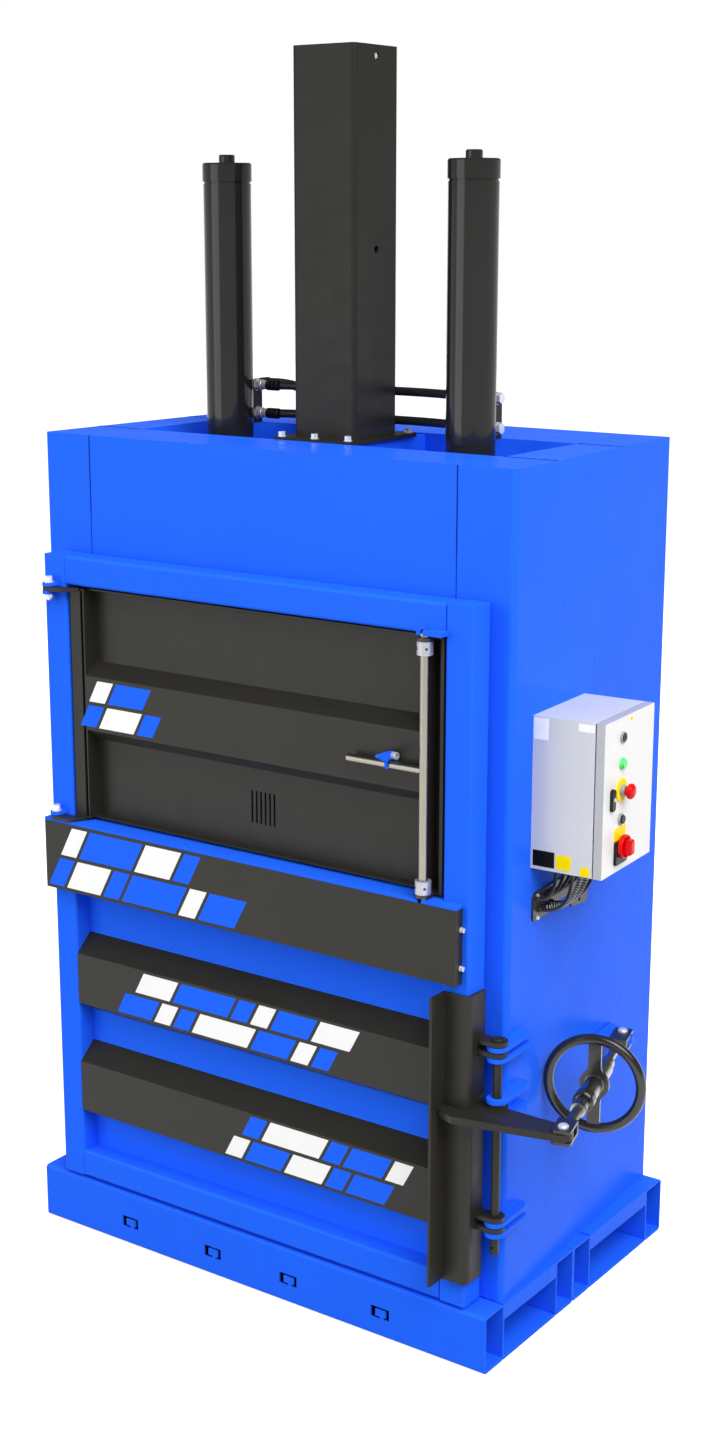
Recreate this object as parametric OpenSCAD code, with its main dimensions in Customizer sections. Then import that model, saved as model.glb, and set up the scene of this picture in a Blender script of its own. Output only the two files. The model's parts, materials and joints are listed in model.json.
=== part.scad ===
// Twin-cylinder recycling baler. Millimetres, +Z up, front towards -Y.
// The origin is the middle of the pallet base's underside.

/* [Pallet base] */
// Width of the pallet base
base_w = 1558; // [1300:2:1900]
// Depth of the pallet base
base_d = 991; // [900:1:1190]
// Height of the base beams
base_h = 163; // [136:1:196]
// Width of one base beam
beam_w = 96; // [80:1:115]
// Wall of the base beams
beam_wall = 6; // [4:0.5:8]
// Distance of the middle beam pair's joint in front of the centre
beam_joint_y = 31; // [0:1:60]
// Width of a strap slot in the front beam
strap_slot_w = 60; // [50:1:72]
// Distance of the inner strap slots from the centre
strap_inner = 135; // [112:1:162]
// Distance of the outer strap slots from the centre
strap_outer = 446; // [372:1:535]

/* [Body] */
// Width of the body at the front
body_w = 1542; // [1290:2:1850]
// How much each side draws in towards the back
side_taper = 49; // [0:1:60]
// Height of the body above the ground
body_top = 2360; // [2200:1:2800]
// Distance from the centre to the body's front face
body_front = 402; // [380:1:440]
// Distance from the centre to the body's back face
body_back = 490; // [420:1:588]
// Thickness of the hollow side walls
side_wall = 168; // [140:1:200]
// Sheet thickness of the body
sheet = 6; // [4:0.5:8]
// Bend radius of the front corners
corner_r = 16; // [10:1:20]
// Depth of the header box over the door
header_d = 215; // [180:1:250]
// Depth of the box beam at the top of the back
rear_beam_d = 298; // [240:1:350]

/* [Press] */
// Middle of the press behind the centre line
press_y = -27; // [-30:1:30]
// Distance of each cylinder from the middle
cyl_x = 403; // [340:1:480]
// Outside diameter of the cylinders
cyl_d = 136; // [110:1:156]
// Bore of the cylinders
cyl_bore = 100; // [80:1:104]
// Height of the cylinders above the deck
cyl_len = 925; // [770:1:1110]
// Diameter of the piston rods
rod_d = 60; // [50:1:72]
// Side of the square guide tube
guide_w = 202; // [170:1:230]
// Length of the guide tube
guide_len = 1013; // [845:1:1215]
// Clearance between the mast and the inside of the guide tube
mast_gap = 11; // [8:0.5:18]
// Height of the platen
platen_h = 168; // [140:1:176]
// Running gap around the platen
platen_gap = 9; // [6:0.5:12]
// Height of the platen's face above the ground
platen_z = 1952; // [1950:1:1970]

/* [Main door] */
// Distance of the door's left edge from the body's left side
door_in_left = 72; // [60:1:86]
// Distance of the door's right edge from the body's right side
door_in_right = 56; // [46:1:67]
// Gap between the door frame and the body
door_gap = 16; // [13:1:19]
// Size of the door's box section
stile = 80; // [68:1:96]
// Height of the door's top edge above the ground
door_top = 2035; // [1990:1:2100]
// Gap between the door and the base
door_clear = 12; // [8:1:16]
// Height of the top rail
top_rail_h = 80; // [70:1:95]
// Height of the sill of the feed opening above the ground
sill_z = 1272; // [1200:1:1400]
// Height of the mid band
band_h = 200; // [170:1:240]
// How far the mid band stands out from the door
band_d = 32; // [26:1:38]
// Height of a rib's flat face
rib_face = 152; // [126:1:182]
// Height of the ribs' top slope
rib_slope = 51; // [42:1:61]
// Pitch of the two ribs
rib_pitch = 335; // [310:1:400]

/* [Feed gate] */
// Gap around the feed gate
gate_gap = 8; // [6:0.5:10]
// Sheet thickness of the gate
gate_t = 5; // [4:0.5:6]
// Width of the gate's edge channels
gate_edge = 46; // [38:1:55]
// Diameter of the lock rod
lock_d = 24; // [20:0.5:27]
// Distance of the lock rod from the door's inner edge
lock_in = 50; // [42:1:60]
// Length of the lock rod's handle from the rod's middle
handle_len = 231; // [193:1:277]
// Diameter of the handle bar
handle_d = 20; // [17:0.5:22]

/* [Door clamp] */
// Thickness of the hinge lugs
lug_t = 12; // [10:0.5:14]
// Gap between the hinge lugs
lug_gap = 2.5; // [2:0.1:3]
// Diameter of the clamp's hinge pin
pin_d = 24; // [20:0.5:28]
// Sheet thickness of the clamp channel
jaw_t = 8; // [7:0.5:9.5]
// Height of the clamp channel's lower end
jaw_z = 250; // [210:1:300]
// Length of the clamp channel
jaw_len = 796; // [700:1:900]
// Height of the arm's upper face
arm_z = 742; // [720:1:770]
// Thickness of the arm
arm_t = 20; // [17:0.5:24]
// Reach of the arm from the hinge pin to the screw's bolt
arm_reach = 210; // [190:1:250]
// Middle diameter of the handwheel's rim
wheel_d = 249; // [210:1:255]
// Thickness of the handwheel's rim
rim_d = 27; // [22:0.5:32]
// Diameter of the screw's bolts
bolt_d = 20; // [17:0.5:24]

/* [Control box] */
// Height of the control box
box_h = 400; // [335:1:480]
// Width of the control box
box_w = 288; // [240:1:345]
// Depth of the control box without its door
box_d = 172; // [143:1:206]
// Thickness of the control box door
box_door_t = 24; // [20:1:28]
// Height of the control box's underside above the ground
box_z = 1335; // [1200:1:1500]
// Distance of the control box from the body's front
box_y = 113; // [94:1:136]

/* [Hidden] */
$fn = 48;

blue = "#2a6cff";
black = "#403e39";
steel = "#c8c6ba";
zinc = "#c0c4d4";
grey = "#c6c9d8";
eps = 0.01;
fit = 0.05;
weld_gap = 0.3;

hx = body_w / 2;
yf = -body_front;
yb = body_back;
wall_x = hx - side_wall;
taper_angle = atan(side_taper / (yb - yf));
header_back = yf + header_d;
rear_beam_front = yb - rear_beam_d;
deck_t = 25;
platen_top = platen_z + platen_h;
deck_z = platen_top + 20;
deck_top = deck_z + deck_t;

// Outside face of the right side panel at a depth y
function panel_x(y) = hx - side_taper * (y - yf) / (yb - yf);

// Places its children on the right side panel: +X is away from the panel, +Y runs back along it
module on_panel(y, z) {
    translate([panel_x(y), y, z]) rotate([0, 0, taper_angle]) children();
}

// Square with round corners, centred
module round_square(w, d, r) {
    square([w - 2 * r, d], center = true);
    square([w, d - 2 * r], center = true);
    for (sx = [-1, 1], sy = [-1, 1])
        translate([sx * (w / 2 - r), sy * (d / 2 - r)]) circle(r);
}

// Box section with round corners along Z, its outline centred, with closed ends
module box_section(w, d, len, wall, r, cap = 0) {
    difference() {
        linear_extrude(len) round_square(w, d, r);
        translate([0, 0, cap > 0 ? cap : -eps])
            linear_extrude(cap > 0 ? len - 2 * cap : len + 2 * eps)
                round_square(w - 2 * wall, d - 2 * wall, max(r - wall, 1));
    }
}

// The same section along X, starting at x0
module box_along_x(x0, x1, y0, y1, z0, z1, wall, r) {
    translate([x0, (y0 + y1) / 2, (z0 + z1) / 2]) rotate([90, 0, 90])
        box_section(y1 - y0, z1 - z0, x1 - x0, wall, r);
}

// Hexagon bolt head or nut along Z: w is the width across flats
module hex(w, h) {
    cylinder(d = w / cos(30), h = h, $fn = 6);
}

// A flat lug around a hole: a strip from the hole's middle to a second round end
module lug_outline(p, q, rp, rq) {
    dir = atan2(q[1] - p[1], q[0] - p[0]);
    len = norm(q - p);
    lean = asin((rp - rq) / len);
    translate(p) rotate(dir) {
        circle(rp);
        translate([len, 0]) circle(rq);
        polygon([[rp * sin(lean), rp * cos(lean)], [len + rq * sin(lean), rq * cos(lean)],
            [len + rq * sin(lean), -rq * cos(lean)], [rp * sin(lean), -rp * cos(lean)]]);
    }
}

// Point on a cubic curve
function curve_at(p, t) = p[0] * pow(1 - t, 3) + 3 * p[1] * t * pow(1 - t, 2)
    + 3 * p[2] * t * t * (1 - t) + p[3] * pow(t, 3);
function unit(v) = v / norm(v);

// Round tube along points, each ring square to the path
module tube_along(path, r, sides = 10) {
    n = len(path);
    points = [for (i = [0:n - 1])
        let (ahead = path[min(i + 1, n - 1)], behind = path[max(i - 1, 0)],
            t = unit(ahead - behind),
            ref = abs(t[1]) > 0.8 ? [1, 0, 0] : [0, 1, 0],
            a = unit(cross(t, ref)),
            b = cross(t, a))
        for (k = [0:sides - 1]) path[i] + r * (cos(360 * k / sides) * a + sin(360 * k / sides) * b)];
    start = [[for (k = [0:sides - 1]) k]];
    end = [[for (k = [sides - 1:-1:0]) (n - 1) * sides + k]];
    walls = [for (i = [0:n - 2], k = [0:sides - 1])
        let (p = i * sides + k, q = i * sides + (k + 1) % sides)
        each [[p, p + sides, q], [q, p + sides, q + sides]]];
    polyhedron(points, concat(start, end, walls));
}

// Pallet base

beam_z0 = 0;
base_front = -base_d / 2;
base_back = base_d / 2;
beam_r = 10;
pocket_plate_t = 6;
pocket_strip_h = 46;
slot_z = 70;
strap_rows = [-strap_outer, -strap_inner, strap_inner, strap_outer];

module base_beam(y0) {
    box_along_x(-base_w / 2, base_w / 2, y0, y0 + beam_w, 0, base_h, beam_wall, beam_r);
}

// Hook-shaped opening that a baling strap is threaded through
module strap_slot(x) {
    scale_by = strap_slot_w / 60;
    translate([x, base_front - eps, slot_z]) rotate([-90, 0, 0]) linear_extrude(beam_wall + 2 * eps)
        difference() {
            square([60, 34] * scale_by, center = true);
            translate([-15, -10] * scale_by) square([34, 20] * scale_by);
            translate([0, 9] * scale_by) square([12, 9] * scale_by);
        }
}

module front_beam() {
    color(blue) difference() {
        base_beam(base_front);
        for (x = strap_rows) strap_slot(x);
    }
}

module centre_beams() {
    color(blue) for (i = [-1, 0]) base_beam(-beam_joint_y + i * beam_w);
}

module rear_beam() {
    color(blue) base_beam(base_back - beam_w);
}

pocket_rows = [[base_front + beam_w, -beam_joint_y - beam_w],
    [-beam_joint_y + beam_w, base_back - beam_w]];

module pocket_plates() {
    color(blue) for (row = pocket_rows) {
        translate([-base_w / 2, row[0], 0]) cube([base_w, row[1] - row[0], pocket_plate_t]);
        for (side = [-1, 1])
            translate([side * (base_w / 2 - beam_wall / 2) - beam_wall / 2, row[0],
                base_h - pocket_strip_h])
                cube([beam_wall, row[1] - row[0], pocket_strip_h]);
        translate([-base_w / 2 + beam_wall, row[0], base_h - pocket_plate_t])
            cube([base_w - 2 * beam_wall, row[1] - row[0], pocket_plate_t]);
    }
}

floor_t = 10;

module chamber_floor() {
    color(blue) translate([-wall_x, yf, base_h]) cube([2 * wall_x, yb - sheet - yf, floor_t]);
}

// Body

module side_outline() {
    r = corner_r;
    cx = panel_x(yf + r) - r;
    polygon([[wall_x, yf], [cx, yf], [cx, yf + r], [cx + r, yf + r], [panel_x(yb), yb], [wall_x, yb]]);
    translate([cx, yf + r]) circle(r);
}

module side_hollow() {
    r = corner_r;
    cx = panel_x(yf + r) - r;
    polygon([[wall_x + sheet, yf + sheet], [cx, yf + sheet], [cx + r - sheet, yf + r],
        [panel_x(yb - sheet) - sheet, yb - sheet], [wall_x + sheet, yb - sheet]]);
}

module side_wall_shell() {
    color(blue) difference() {
        translate([0, 0, base_h]) linear_extrude(body_top - base_h) side_outline();
        translate([0, 0, base_h + sheet]) linear_extrude(body_top - base_h - 2 * sheet) side_hollow();
        seam_cut(1);
    }
}

// Groove along the seam between the header and a side wall
module seam_cut(side) {
    translate([side * wall_x, yf, deck_z]) rotate([0, 0, 45])
        translate([-1.5, -1.5, 0]) cube([3, 3, body_top - deck_z + 1]);
}

module left_side_wall() {
    mirror([1, 0, 0]) side_wall_shell();
}

module right_side_wall() {
    side_wall_shell();
}

header_skirt_z = door_top - top_rail_h + 20;

module header() {
    color(blue) difference() {
        translate([-wall_x, 0, 0]) rotate([90, 0, 90]) linear_extrude(2 * wall_x) {
            difference() {
                translate([yf, deck_z]) square([header_d, body_top - deck_z]);
                translate([yf + sheet, deck_z + sheet])
                    square([header_d - 2 * sheet, body_top - deck_z - 2 * sheet]);
            }
            translate([yf, header_skirt_z]) square([sheet, deck_z - header_skirt_z + eps]);
        }
        for (side = [-1, 1]) seam_cut(side);
    }
}

module rear_wall() {
    color(blue) translate([-wall_x, yb - sheet, base_h]) cube([2 * wall_x, sheet, deck_z - base_h]);
}

module rear_top_beam() {
    color(blue) translate([-wall_x, 0, 0]) rotate([90, 0, 90]) linear_extrude(2 * wall_x) difference() {
        translate([rear_beam_front, deck_z]) square([rear_beam_d, body_top - deck_z]);
        translate([rear_beam_front + sheet, deck_z + sheet])
            square([rear_beam_d - 2 * sheet, body_top - deck_z - 2 * sheet]);
    }
}

flange_w = guide_w + 52;
flange_d = guide_w + 116;
flange_t = 12;
bridge_top = body_top - 5;
guide_z = bridge_top + flange_t;

// Box under the guide tube's flange, open for the mast
module top_bridge() {
    color(blue) difference() {
        translate([-flange_w / 2 + 10, header_back, deck_top])
            cube([flange_w - 20, rear_beam_front - header_back, bridge_top - deck_top]);
        translate([-flange_w / 2 + 10 + sheet, header_back - eps, deck_top - eps])
            cube([flange_w - 20 - 2 * sheet, rear_beam_front - header_back + 2 * eps,
                bridge_top - deck_top - sheet]);
        translate([0, press_y, bridge_top - 2 * sheet]) linear_extrude(3 * sheet)
            square(guide_w, center = true);
    }
}

module cylinder_deck() {
    color(blue) difference() {
        translate([-wall_x, header_back, deck_z])
            cube([2 * wall_x, rear_beam_front - header_back, deck_t]);
        for (side = [-1, 1])
            translate([side * cyl_x, press_y, deck_z - eps])
                cylinder(d = rod_d + 8, h = deck_t + 2 * eps);
        translate([0, press_y, deck_z - eps]) linear_extrude(deck_t + 2 * eps)
            square(mast_w + 12, center = true);
    }
}

// Press

cyl_foot_t = 20;
cyl_gland = 80;
cyl_cap_h = 50;
cyl_nub_d = 44;
cyl_nub_h = 22;
piston_h = 40;
bore_z = deck_top + cyl_gland;
bore_top = deck_top + cyl_len - cyl_cap_h;
rod_clear = 0.05;
press_stroke = bore_top - bore_z - piston_h - 10;

// Hydraulic cylinder: foot, barrel with a blind bore, cap with a turned groove and a lifting boss
module cylinder_body(x) {
    foot_w = cyl_d + 30;
    color(black) translate([x, press_y, deck_top]) difference() {
        union() {
            linear_extrude(cyl_foot_t) round_square(foot_w, foot_w, 12);
            rotate_extrude() polygon([[0, 0], [cyl_d / 2 - 2, 0], [cyl_d / 2 - 2, cyl_len - cyl_cap_h - 6],
                [cyl_d / 2 - 4, cyl_len - cyl_cap_h - 6], [cyl_d / 2 - 4, cyl_len - cyl_cap_h],
                [cyl_d / 2, cyl_len - cyl_cap_h], [cyl_d / 2, cyl_len - 4], [cyl_d / 2 - 4, cyl_len],
                [cyl_nub_d / 2, cyl_len], [cyl_nub_d / 2, cyl_len + cyl_nub_h - 3],
                [cyl_nub_d / 2 - 3, cyl_len + cyl_nub_h], [0, cyl_len + cyl_nub_h]]);
        }
        translate([0, 0, -eps]) cylinder(d = rod_d + 2 * rod_clear, h = cyl_gland + 1);
        translate([0, 0, cyl_gland]) cylinder(d = cyl_bore, h = cyl_len - cyl_cap_h - cyl_gland);
    }
}

module left_cylinder() {
    cylinder_body(-cyl_x);
}

module right_cylinder() {
    cylinder_body(cyl_x);
}

module piston_rods() {
    color(steel) for (side = [-1, 1]) translate([side * cyl_x, press_y, 0]) {
        translate([0, 0, platen_top]) cylinder(d = rod_d, h = bore_top - 5 - platen_top);
        translate([0, 0, bore_top - 5 - piston_h]) cylinder(d = cyl_bore - 1, h = piston_h);
    }
}

guide_wall = 6;
mast_w = guide_w - 2 * (guide_wall + mast_gap);
guide_r = 13;
sight_hole_d = 20;

module guide_tube() {
    color(black) {
        difference() {
            translate([0, press_y, bridge_top]) linear_extrude(flange_t)
                square([flange_w, flange_d], center = true);
            translate([0, press_y, bridge_top - eps]) linear_extrude(flange_t + 2 * eps)
                square(guide_w - 2 * guide_wall, center = true);
            for (p = flange_bolt_places)
                translate([p[0], p[1], bridge_top - eps]) cylinder(d = 13, h = flange_t + 2 * eps);
        }
        difference() {
            translate([0, press_y, guide_z]) box_section(guide_w, guide_w, guide_len, guide_wall, guide_r);
            for (z = [guide_len / 2 - 12, guide_len - 28])
                translate([guide_w / 2 - 2 * guide_wall, press_y, guide_z + z]) rotate([0, 90, 0])
                    cylinder(d = sight_hole_d, h = 3 * guide_wall);
        }
        translate([0, press_y, guide_z + guide_len - guide_wall]) linear_extrude(guide_wall)
            round_square(guide_w - guide_wall, guide_w - guide_wall, guide_r - guide_wall / 2);
    }
}

flange_bolt_places = [for (i = [-1, 0, 1], j = [-1, 1])
    [i * (flange_w / 2 - 17), press_y + j * (flange_d / 2 - 16)]];

// Bolts of the guide tube's flange, and the bolt that the clamp's screw turns on at the back
module frame_bolts() {
    color(zinc) translate([anchor[0], anchor[1], screw_z]) through_bolt();
    color(zinc) for (p = flange_bolt_places) translate([p[0], p[1], 0]) {
        translate([0, 0, guide_z]) cylinder(d = 23, h = 2.5);
        translate([0, 0, guide_z + 2.5]) hex(17, 11);
        translate([0, 0, bridge_top + eps]) cylinder(d = 12, h = flange_t);
    }
}

// Hydraulic connections behind the cylinders

port_w = 50;
port_d = 54;
port_h = 118;
port_z = 2371 - 2360 + body_top;
port_y = press_y + cyl_d / 2 - 6;
port_levels = [port_z + 30, port_z + 110 - 1];
port_bolt_y = port_y + 28;

module port_blocks() {
    color(black) for (side = [-1, 1]) difference() {
        translate([side * cyl_x - port_w / 2, port_y, port_z]) cube([port_w, port_d, port_h]);
        translate([side * cyl_x, press_y, port_z - 1]) cylinder(d = cyl_d - 4 + 2 * eps, h = port_h + 2);
    }
}

hose_d = 24;
hose_y = press_y + guide_w / 2 + hose_d / 2 + 16;
ferrule_len = 52;
hose_start = -cyl_x + port_w / 2;
hose_end = cyl_x - port_w / 2;

// Bonded washer, banjo bolt head and the hose's swaged end on each port
module port_fittings() {
    for (z = port_levels) {
        for (side = [-1, 1]) translate([side * cyl_x + port_w / 2, port_bolt_y, z]) rotate([0, 90, 0]) {
            color("#c89a2a") cylinder(d = 34, h = 3);
            color(zinc) translate([0, 0, 3]) hex(27, 13);
        }
        color(zinc) translate([hose_end, port_bolt_y, z]) rotate([0, -90, 0]) {
            cylinder(d = 34, h = 3);
            translate([0, 0, 3]) hex(27, 13);
        }
    }
}

function cross_route(z) = [for (i = [0:6]) curve_at([[hose_start + 16, port_bolt_y, z],
        [hose_start + 90, port_bolt_y, z], [hose_start + 110, hose_y, z],
        [-guide_w / 2 - 10, hose_y, z]], i / 6)];

// Two hoses joining the cylinders' ports, and the supply hose down into the back beam
module hydraulic_hoses() {
    supply_y = rear_beam_front + hose_d;
    supply = [[-cyl_x, port_y + port_d, port_levels[1]], [-cyl_x, supply_y, port_levels[1]],
        [-cyl_x + 150, supply_y, port_levels[1]], [-cyl_x + 150, supply_y, body_top]];
    color(black) {
        for (z = port_levels) {
            half = cross_route(z);
            tube_along(concat(half, [for (i = [6:-1:0]) [-half[i][0], half[i][1], half[i][2]]]),
                hose_d / 2, 12);
        }
        tube_along([for (i = [0:10]) curve_at(supply, i / 10)], hose_d / 2 + 1.5, 12);
    }
}

mast_wall = 6;
mast_top = guide_z + guide_len - 70;

module mast() {
    color(steel) translate([0, press_y, platen_top]) box_section(mast_w, mast_w, mast_top - platen_top,
        mast_wall, 10);
}

// Press platen: strap grooves below, open cells between its ribs above
module platen() {
    px = wall_x - platen_gap;
    py0 = yf + sheet + platen_gap;
    py1 = yb - sheet - platen_gap;
    face_t = 22;
    groove_w = 30;
    groove_d = 12;
    rib_t = 10;
    cells_x = 4;
    cell_w = (2 * px - (cells_x + 1) * rib_t) / cells_x;
    cell_rows = [[py0 + rib_t, press_y - mast_w / 2 - rib_t], [press_y + mast_w / 2 + rib_t, py1 - rib_t]];
    seat = rod_d / 2 + 16;
    mid_cells = [[mast_w / 2 + rib_t, cyl_x - seat], [cyl_x + seat, px - rib_t]];
    color(black) difference() {
        translate([-px, py0, platen_z]) cube([2 * px, py1 - py0, platen_h]);
        for (x = strap_rows)
            translate([x - groove_w / 2, py0 - eps, platen_z - eps])
                cube([groove_w, py1 - py0 + 2 * eps, groove_d]);
        for (row = cell_rows, i = [0:cells_x - 1])
            translate([-px + rib_t + i * (cell_w + rib_t), row[0], platen_z + face_t])
                cube([cell_w, row[1] - row[0], platen_h]);
        for (cell = mid_cells, side = [0, 1]) mirror([side, 0, 0])
            translate([cell[0], press_y - mast_w / 2, platen_z + face_t])
                cube([cell[1] - cell[0], mast_w, platen_h]);
        translate([-mast_w / 2 + 20, press_y - mast_w / 2 + 20, platen_z + face_t])
            cube([mast_w - 40, mast_w - 40, platen_h]);
    }
}

// Main door

door_l = -hx + door_in_left;
door_r = hx - door_in_right;
door_back = yf - door_gap;
door_front = door_back - stile;
door_z0 = base_h + door_clear;
in_l = door_l + stile;
in_r = door_r - stile;
rail_r = 8;
rail_wall = 5;
skin_y = door_back - 18;
skin_t = 6;
band_front = door_front - band_d;
strip_t = 8;
strip_top = sill_z + strip_t;
band_r = door_r - 20;

module door_stile(x0) {
    color(blue) translate([x0 + stile / 2, door_back - stile / 2, door_z0])
        box_section(stile, stile, door_top - door_z0, rail_wall, rail_r, rail_wall);
}

module door_left_stile() {
    door_stile(door_l);
}

module door_right_stile() {
    door_stile(in_r);
}

module door_rail(z0, z1) {
    color(blue) box_along_x(in_l, in_r, door_front, door_back, z0, z1, rail_wall, rail_r);
}

module door_top_rail() {
    door_rail(door_top - top_rail_h, door_top);
}

module door_mid_rail() {
    door_rail(sill_z - band_h + 10, sill_z);
}

module door_bottom_rail() {
    door_rail(door_z0, door_z0 + stile);
}

module door_skin() {
    color(blue) translate([in_l, skin_y - skin_t, door_z0 + stile])
        cube([in_r - in_l, skin_t, sill_z - band_h + 10 - door_z0 - stile]);
}

rib_back = skin_y - skin_t;
rib_under = 36;
rib_t = 5;
rib_z = 387;

// Folded rib across the door: a flat face between a wide upper slope and a steep lower one
module rib_outline(inset) {
    polygon([[rib_back, -rib_under + inset], [door_front + inset, inset],
        [door_front + inset, rib_face - inset], [rib_back, rib_face + rib_slope - inset]]);
}

module door_ribs() {
    color(black) for (i = [0, 1])
        translate([in_l, 0, rib_z + i * rib_pitch]) rotate([90, 0, 90]) linear_extrude(in_r - in_l)
            difference() {
                rib_outline(0);
                rib_outline(rib_t);
            }
}

module mid_band() {
    band_t = 5;
    color(black) difference() {
        translate([door_l, band_front, sill_z - band_h]) cube([band_r - door_l, band_d, band_h]);
        translate([door_l + band_t, band_front + band_t, sill_z - band_h + band_t])
            cube([band_r - door_l - 2 * band_t, band_d, band_h - 2 * band_t]);
    }
}

lock_x = in_r - lock_in;
lock_y = door_front - 14;
tip_w = 20;
tip_t = 9.5;
keyhole_d = 26;
keyhole_mouth = 12;

// Keyhole that lets the rod's flat tip out only when it is turned
module keyhole(depth) {
    cylinder(d = keyhole_d, h = depth);
    translate([-keyhole_mouth / 2, -200, 0]) cube([keyhole_mouth, 200, depth]);
}

module sill_strip() {
    color(blue) difference() {
        union() {
            translate([door_l, band_front, sill_z]) cube([band_r - door_l, band_d, strip_t]);
            translate([in_l, door_front - eps, sill_z]) cube([in_r - in_l, stile * 0.6, strip_t]);
        }
        translate([lock_x, lock_y, sill_z - 1]) keyhole(strip_t + 2);
        translate([gate_axis_x, gate_axis_y, sill_z - 1])
            cylinder(d = gate_bolt_d + 2 * eps, h = strip_t + 2);
    }
}

keeper_t = 12;
keeper_z = door_top - top_rail_h + 2;
keeper_d = 36;
keeper_w = 77;
keeper_r = 10;

module rod_keeper() {
    color(blue) difference() {
        translate([lock_x - 17, door_front - keeper_d, keeper_z]) linear_extrude(keeper_t) {
            translate([keeper_r, 0]) square([keeper_w - keeper_r, keeper_d]);
            translate([0, keeper_r]) square([keeper_w, keeper_d - keeper_r]);
            translate([keeper_r, keeper_r]) circle(keeper_r);
        }
        translate([lock_x, lock_y, keeper_z - 1]) keyhole(keeper_t + 2);
    }
}

gate_axis_x = door_l + 38;
gate_axis_y = door_front - 22;
ear_t = 10;
gate_z0 = strip_top + gate_gap;
gate_z1 = door_top - top_rail_h - gate_gap;
ear_gap = 1;
lug_levels = [strip_top + ear_gap, gate_z1 - 7];
lug_h = 10;
gate_bolt_d = 16;
above_lug = lug_h + ear_gap;
ear_levels = [lug_levels[0] + above_lug, lug_levels[1] - ear_t - ear_gap, lug_levels[1] + above_lug];

// Blue ears on the stile: above the lower lug, which rests over the sill strip, and round the upper one
module gate_ears() {
    color(blue) for (z = ear_levels)
        translate([0, 0, z]) linear_extrude(ear_t) difference() {
            union() {
                translate([gate_axis_x, gate_axis_y]) circle(18);
                translate([gate_axis_x - 18, gate_axis_y]) square([36, door_front - gate_axis_y]);
            }
            translate([gate_axis_x, gate_axis_y]) circle(d = gate_bolt_d + 2 * eps);
        }
}

// Bolts that the gate turns on, the upper with a dome nut, and the band's end bolts
module door_bolts() {
    bolt_ends = [sill_z, ear_levels[1]];
    color(zinc) {
        for (i = [0, 1]) translate([gate_axis_x, gate_axis_y, lug_levels[i] + above_lug + ear_t]) {
            shank = lug_levels[i] + above_lug + ear_t - bolt_ends[i];
            translate([0, 0, -shank]) cylinder(d = gate_bolt_d, h = shank);
            cylinder(d = 28, h = 3);
            translate([0, 0, 3]) hex(20, 15);
        }
        translate([gate_axis_x, gate_axis_y, ear_levels[1]]) rotate([180, 0, 0]) {
            hex(20, 10);
            translate([0, 0, 10]) intersection() {
                sphere(d = 19);
                cylinder(d = 20, h = 8);
            }
        }
        for (z = [58, 160])
            translate([band_r, door_front - 8, sill_z - band_h + z - 16]) rotate([0, 90, 0]) {
                cylinder(d = 15, h = 2);
                translate([0, 0, 2]) hex(12, 8);
            }
    }
}

hinge_x = door_l - 22;
hinge_y = door_back - 22;
hinge_r = 14;
hinge_h = 42;
hinge_pin_d = 14;
hinge_levels = [door_z0 + 50, door_z0 + 480, sill_z + 25, door_top - 215];

// Lower half of each lift-off hinge with its pin, on the body
module hinge_posts() {
    color(blue) for (z = hinge_levels) {
        translate([0, 0, z]) {
            translate([hinge_x, hinge_y, 0]) cylinder(r = hinge_r, h = hinge_h);
            translate([hinge_x - hinge_r, hinge_y, 0]) cube([2 * hinge_r, yf - hinge_y, hinge_h]);
        }
        translate([hinge_x, hinge_y, z + hinge_h - eps])
            cylinder(d = hinge_pin_d, h = hinge_h - 6);
    }
}

// Upper half of each lift-off hinge, on the door
module hinge_knuckles() {
    color(blue) for (z = hinge_levels) translate([0, 0, z + hinge_h + 1]) difference() {
        union() {
            translate([hinge_x, hinge_y, 0]) cylinder(r = hinge_r, h = hinge_h);
            translate([hinge_x, hinge_y - hinge_r, 0]) cube([door_l - hinge_x, 2 * hinge_r, hinge_h]);
        }
        translate([hinge_x, hinge_y, -1]) cylinder(d = hinge_pin_d + 2 * fit, h = hinge_h - 4);
    }
}

// Feed gate

gate_l = in_l + gate_gap;
gate_r = in_r - gate_gap;
gate_y = door_back - 22;
gate_face = door_front + 8;
gate_rib_d = gate_y - gate_t - gate_face;
gate_rib_slope = 35;
gate_rib_z = 1547 - 1272 + sill_z;
gate_rib_h = 156;
gate_flange = 28;
hinge_lip = 37;
lock_lip = 10;
vent_x = 27;
vent_z = 1360 - 1272 + sill_z;
vent_h = 90;
vent_w = 6;
vent_pitch = 15;
rod_z1 = keeper_z + keeper_t - 1;
rod_z0 = sill_z + 0.8;

// Section of the gate's sheet: flat, with one folded rib and a flange along each edge
module gate_section() {
    y0 = gate_y - gate_t;
    polygon([[y0 - gate_flange, gate_z0], [gate_y, gate_z0],
        [gate_y, gate_rib_z - gate_rib_slope - gate_t / 2],
        [gate_face + gate_t, gate_rib_z - gate_t / 2],
        [gate_face + gate_t, gate_rib_z + gate_rib_h + gate_t / 2],
        [gate_y, gate_rib_z + gate_rib_h + gate_rib_slope + gate_t / 2], [gate_y, gate_z1],
        [y0 - gate_flange, gate_z1], [y0 - gate_flange, gate_z1 - gate_t], [y0, gate_z1 - gate_t],
        [y0, gate_rib_z + gate_rib_h + gate_rib_slope], [gate_face, gate_rib_z + gate_rib_h],
        [gate_face, gate_rib_z], [y0, gate_rib_z - gate_rib_slope], [y0, gate_z0 + gate_t],
        [y0 - gate_flange, gate_z0 + gate_t]]);
}

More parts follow.
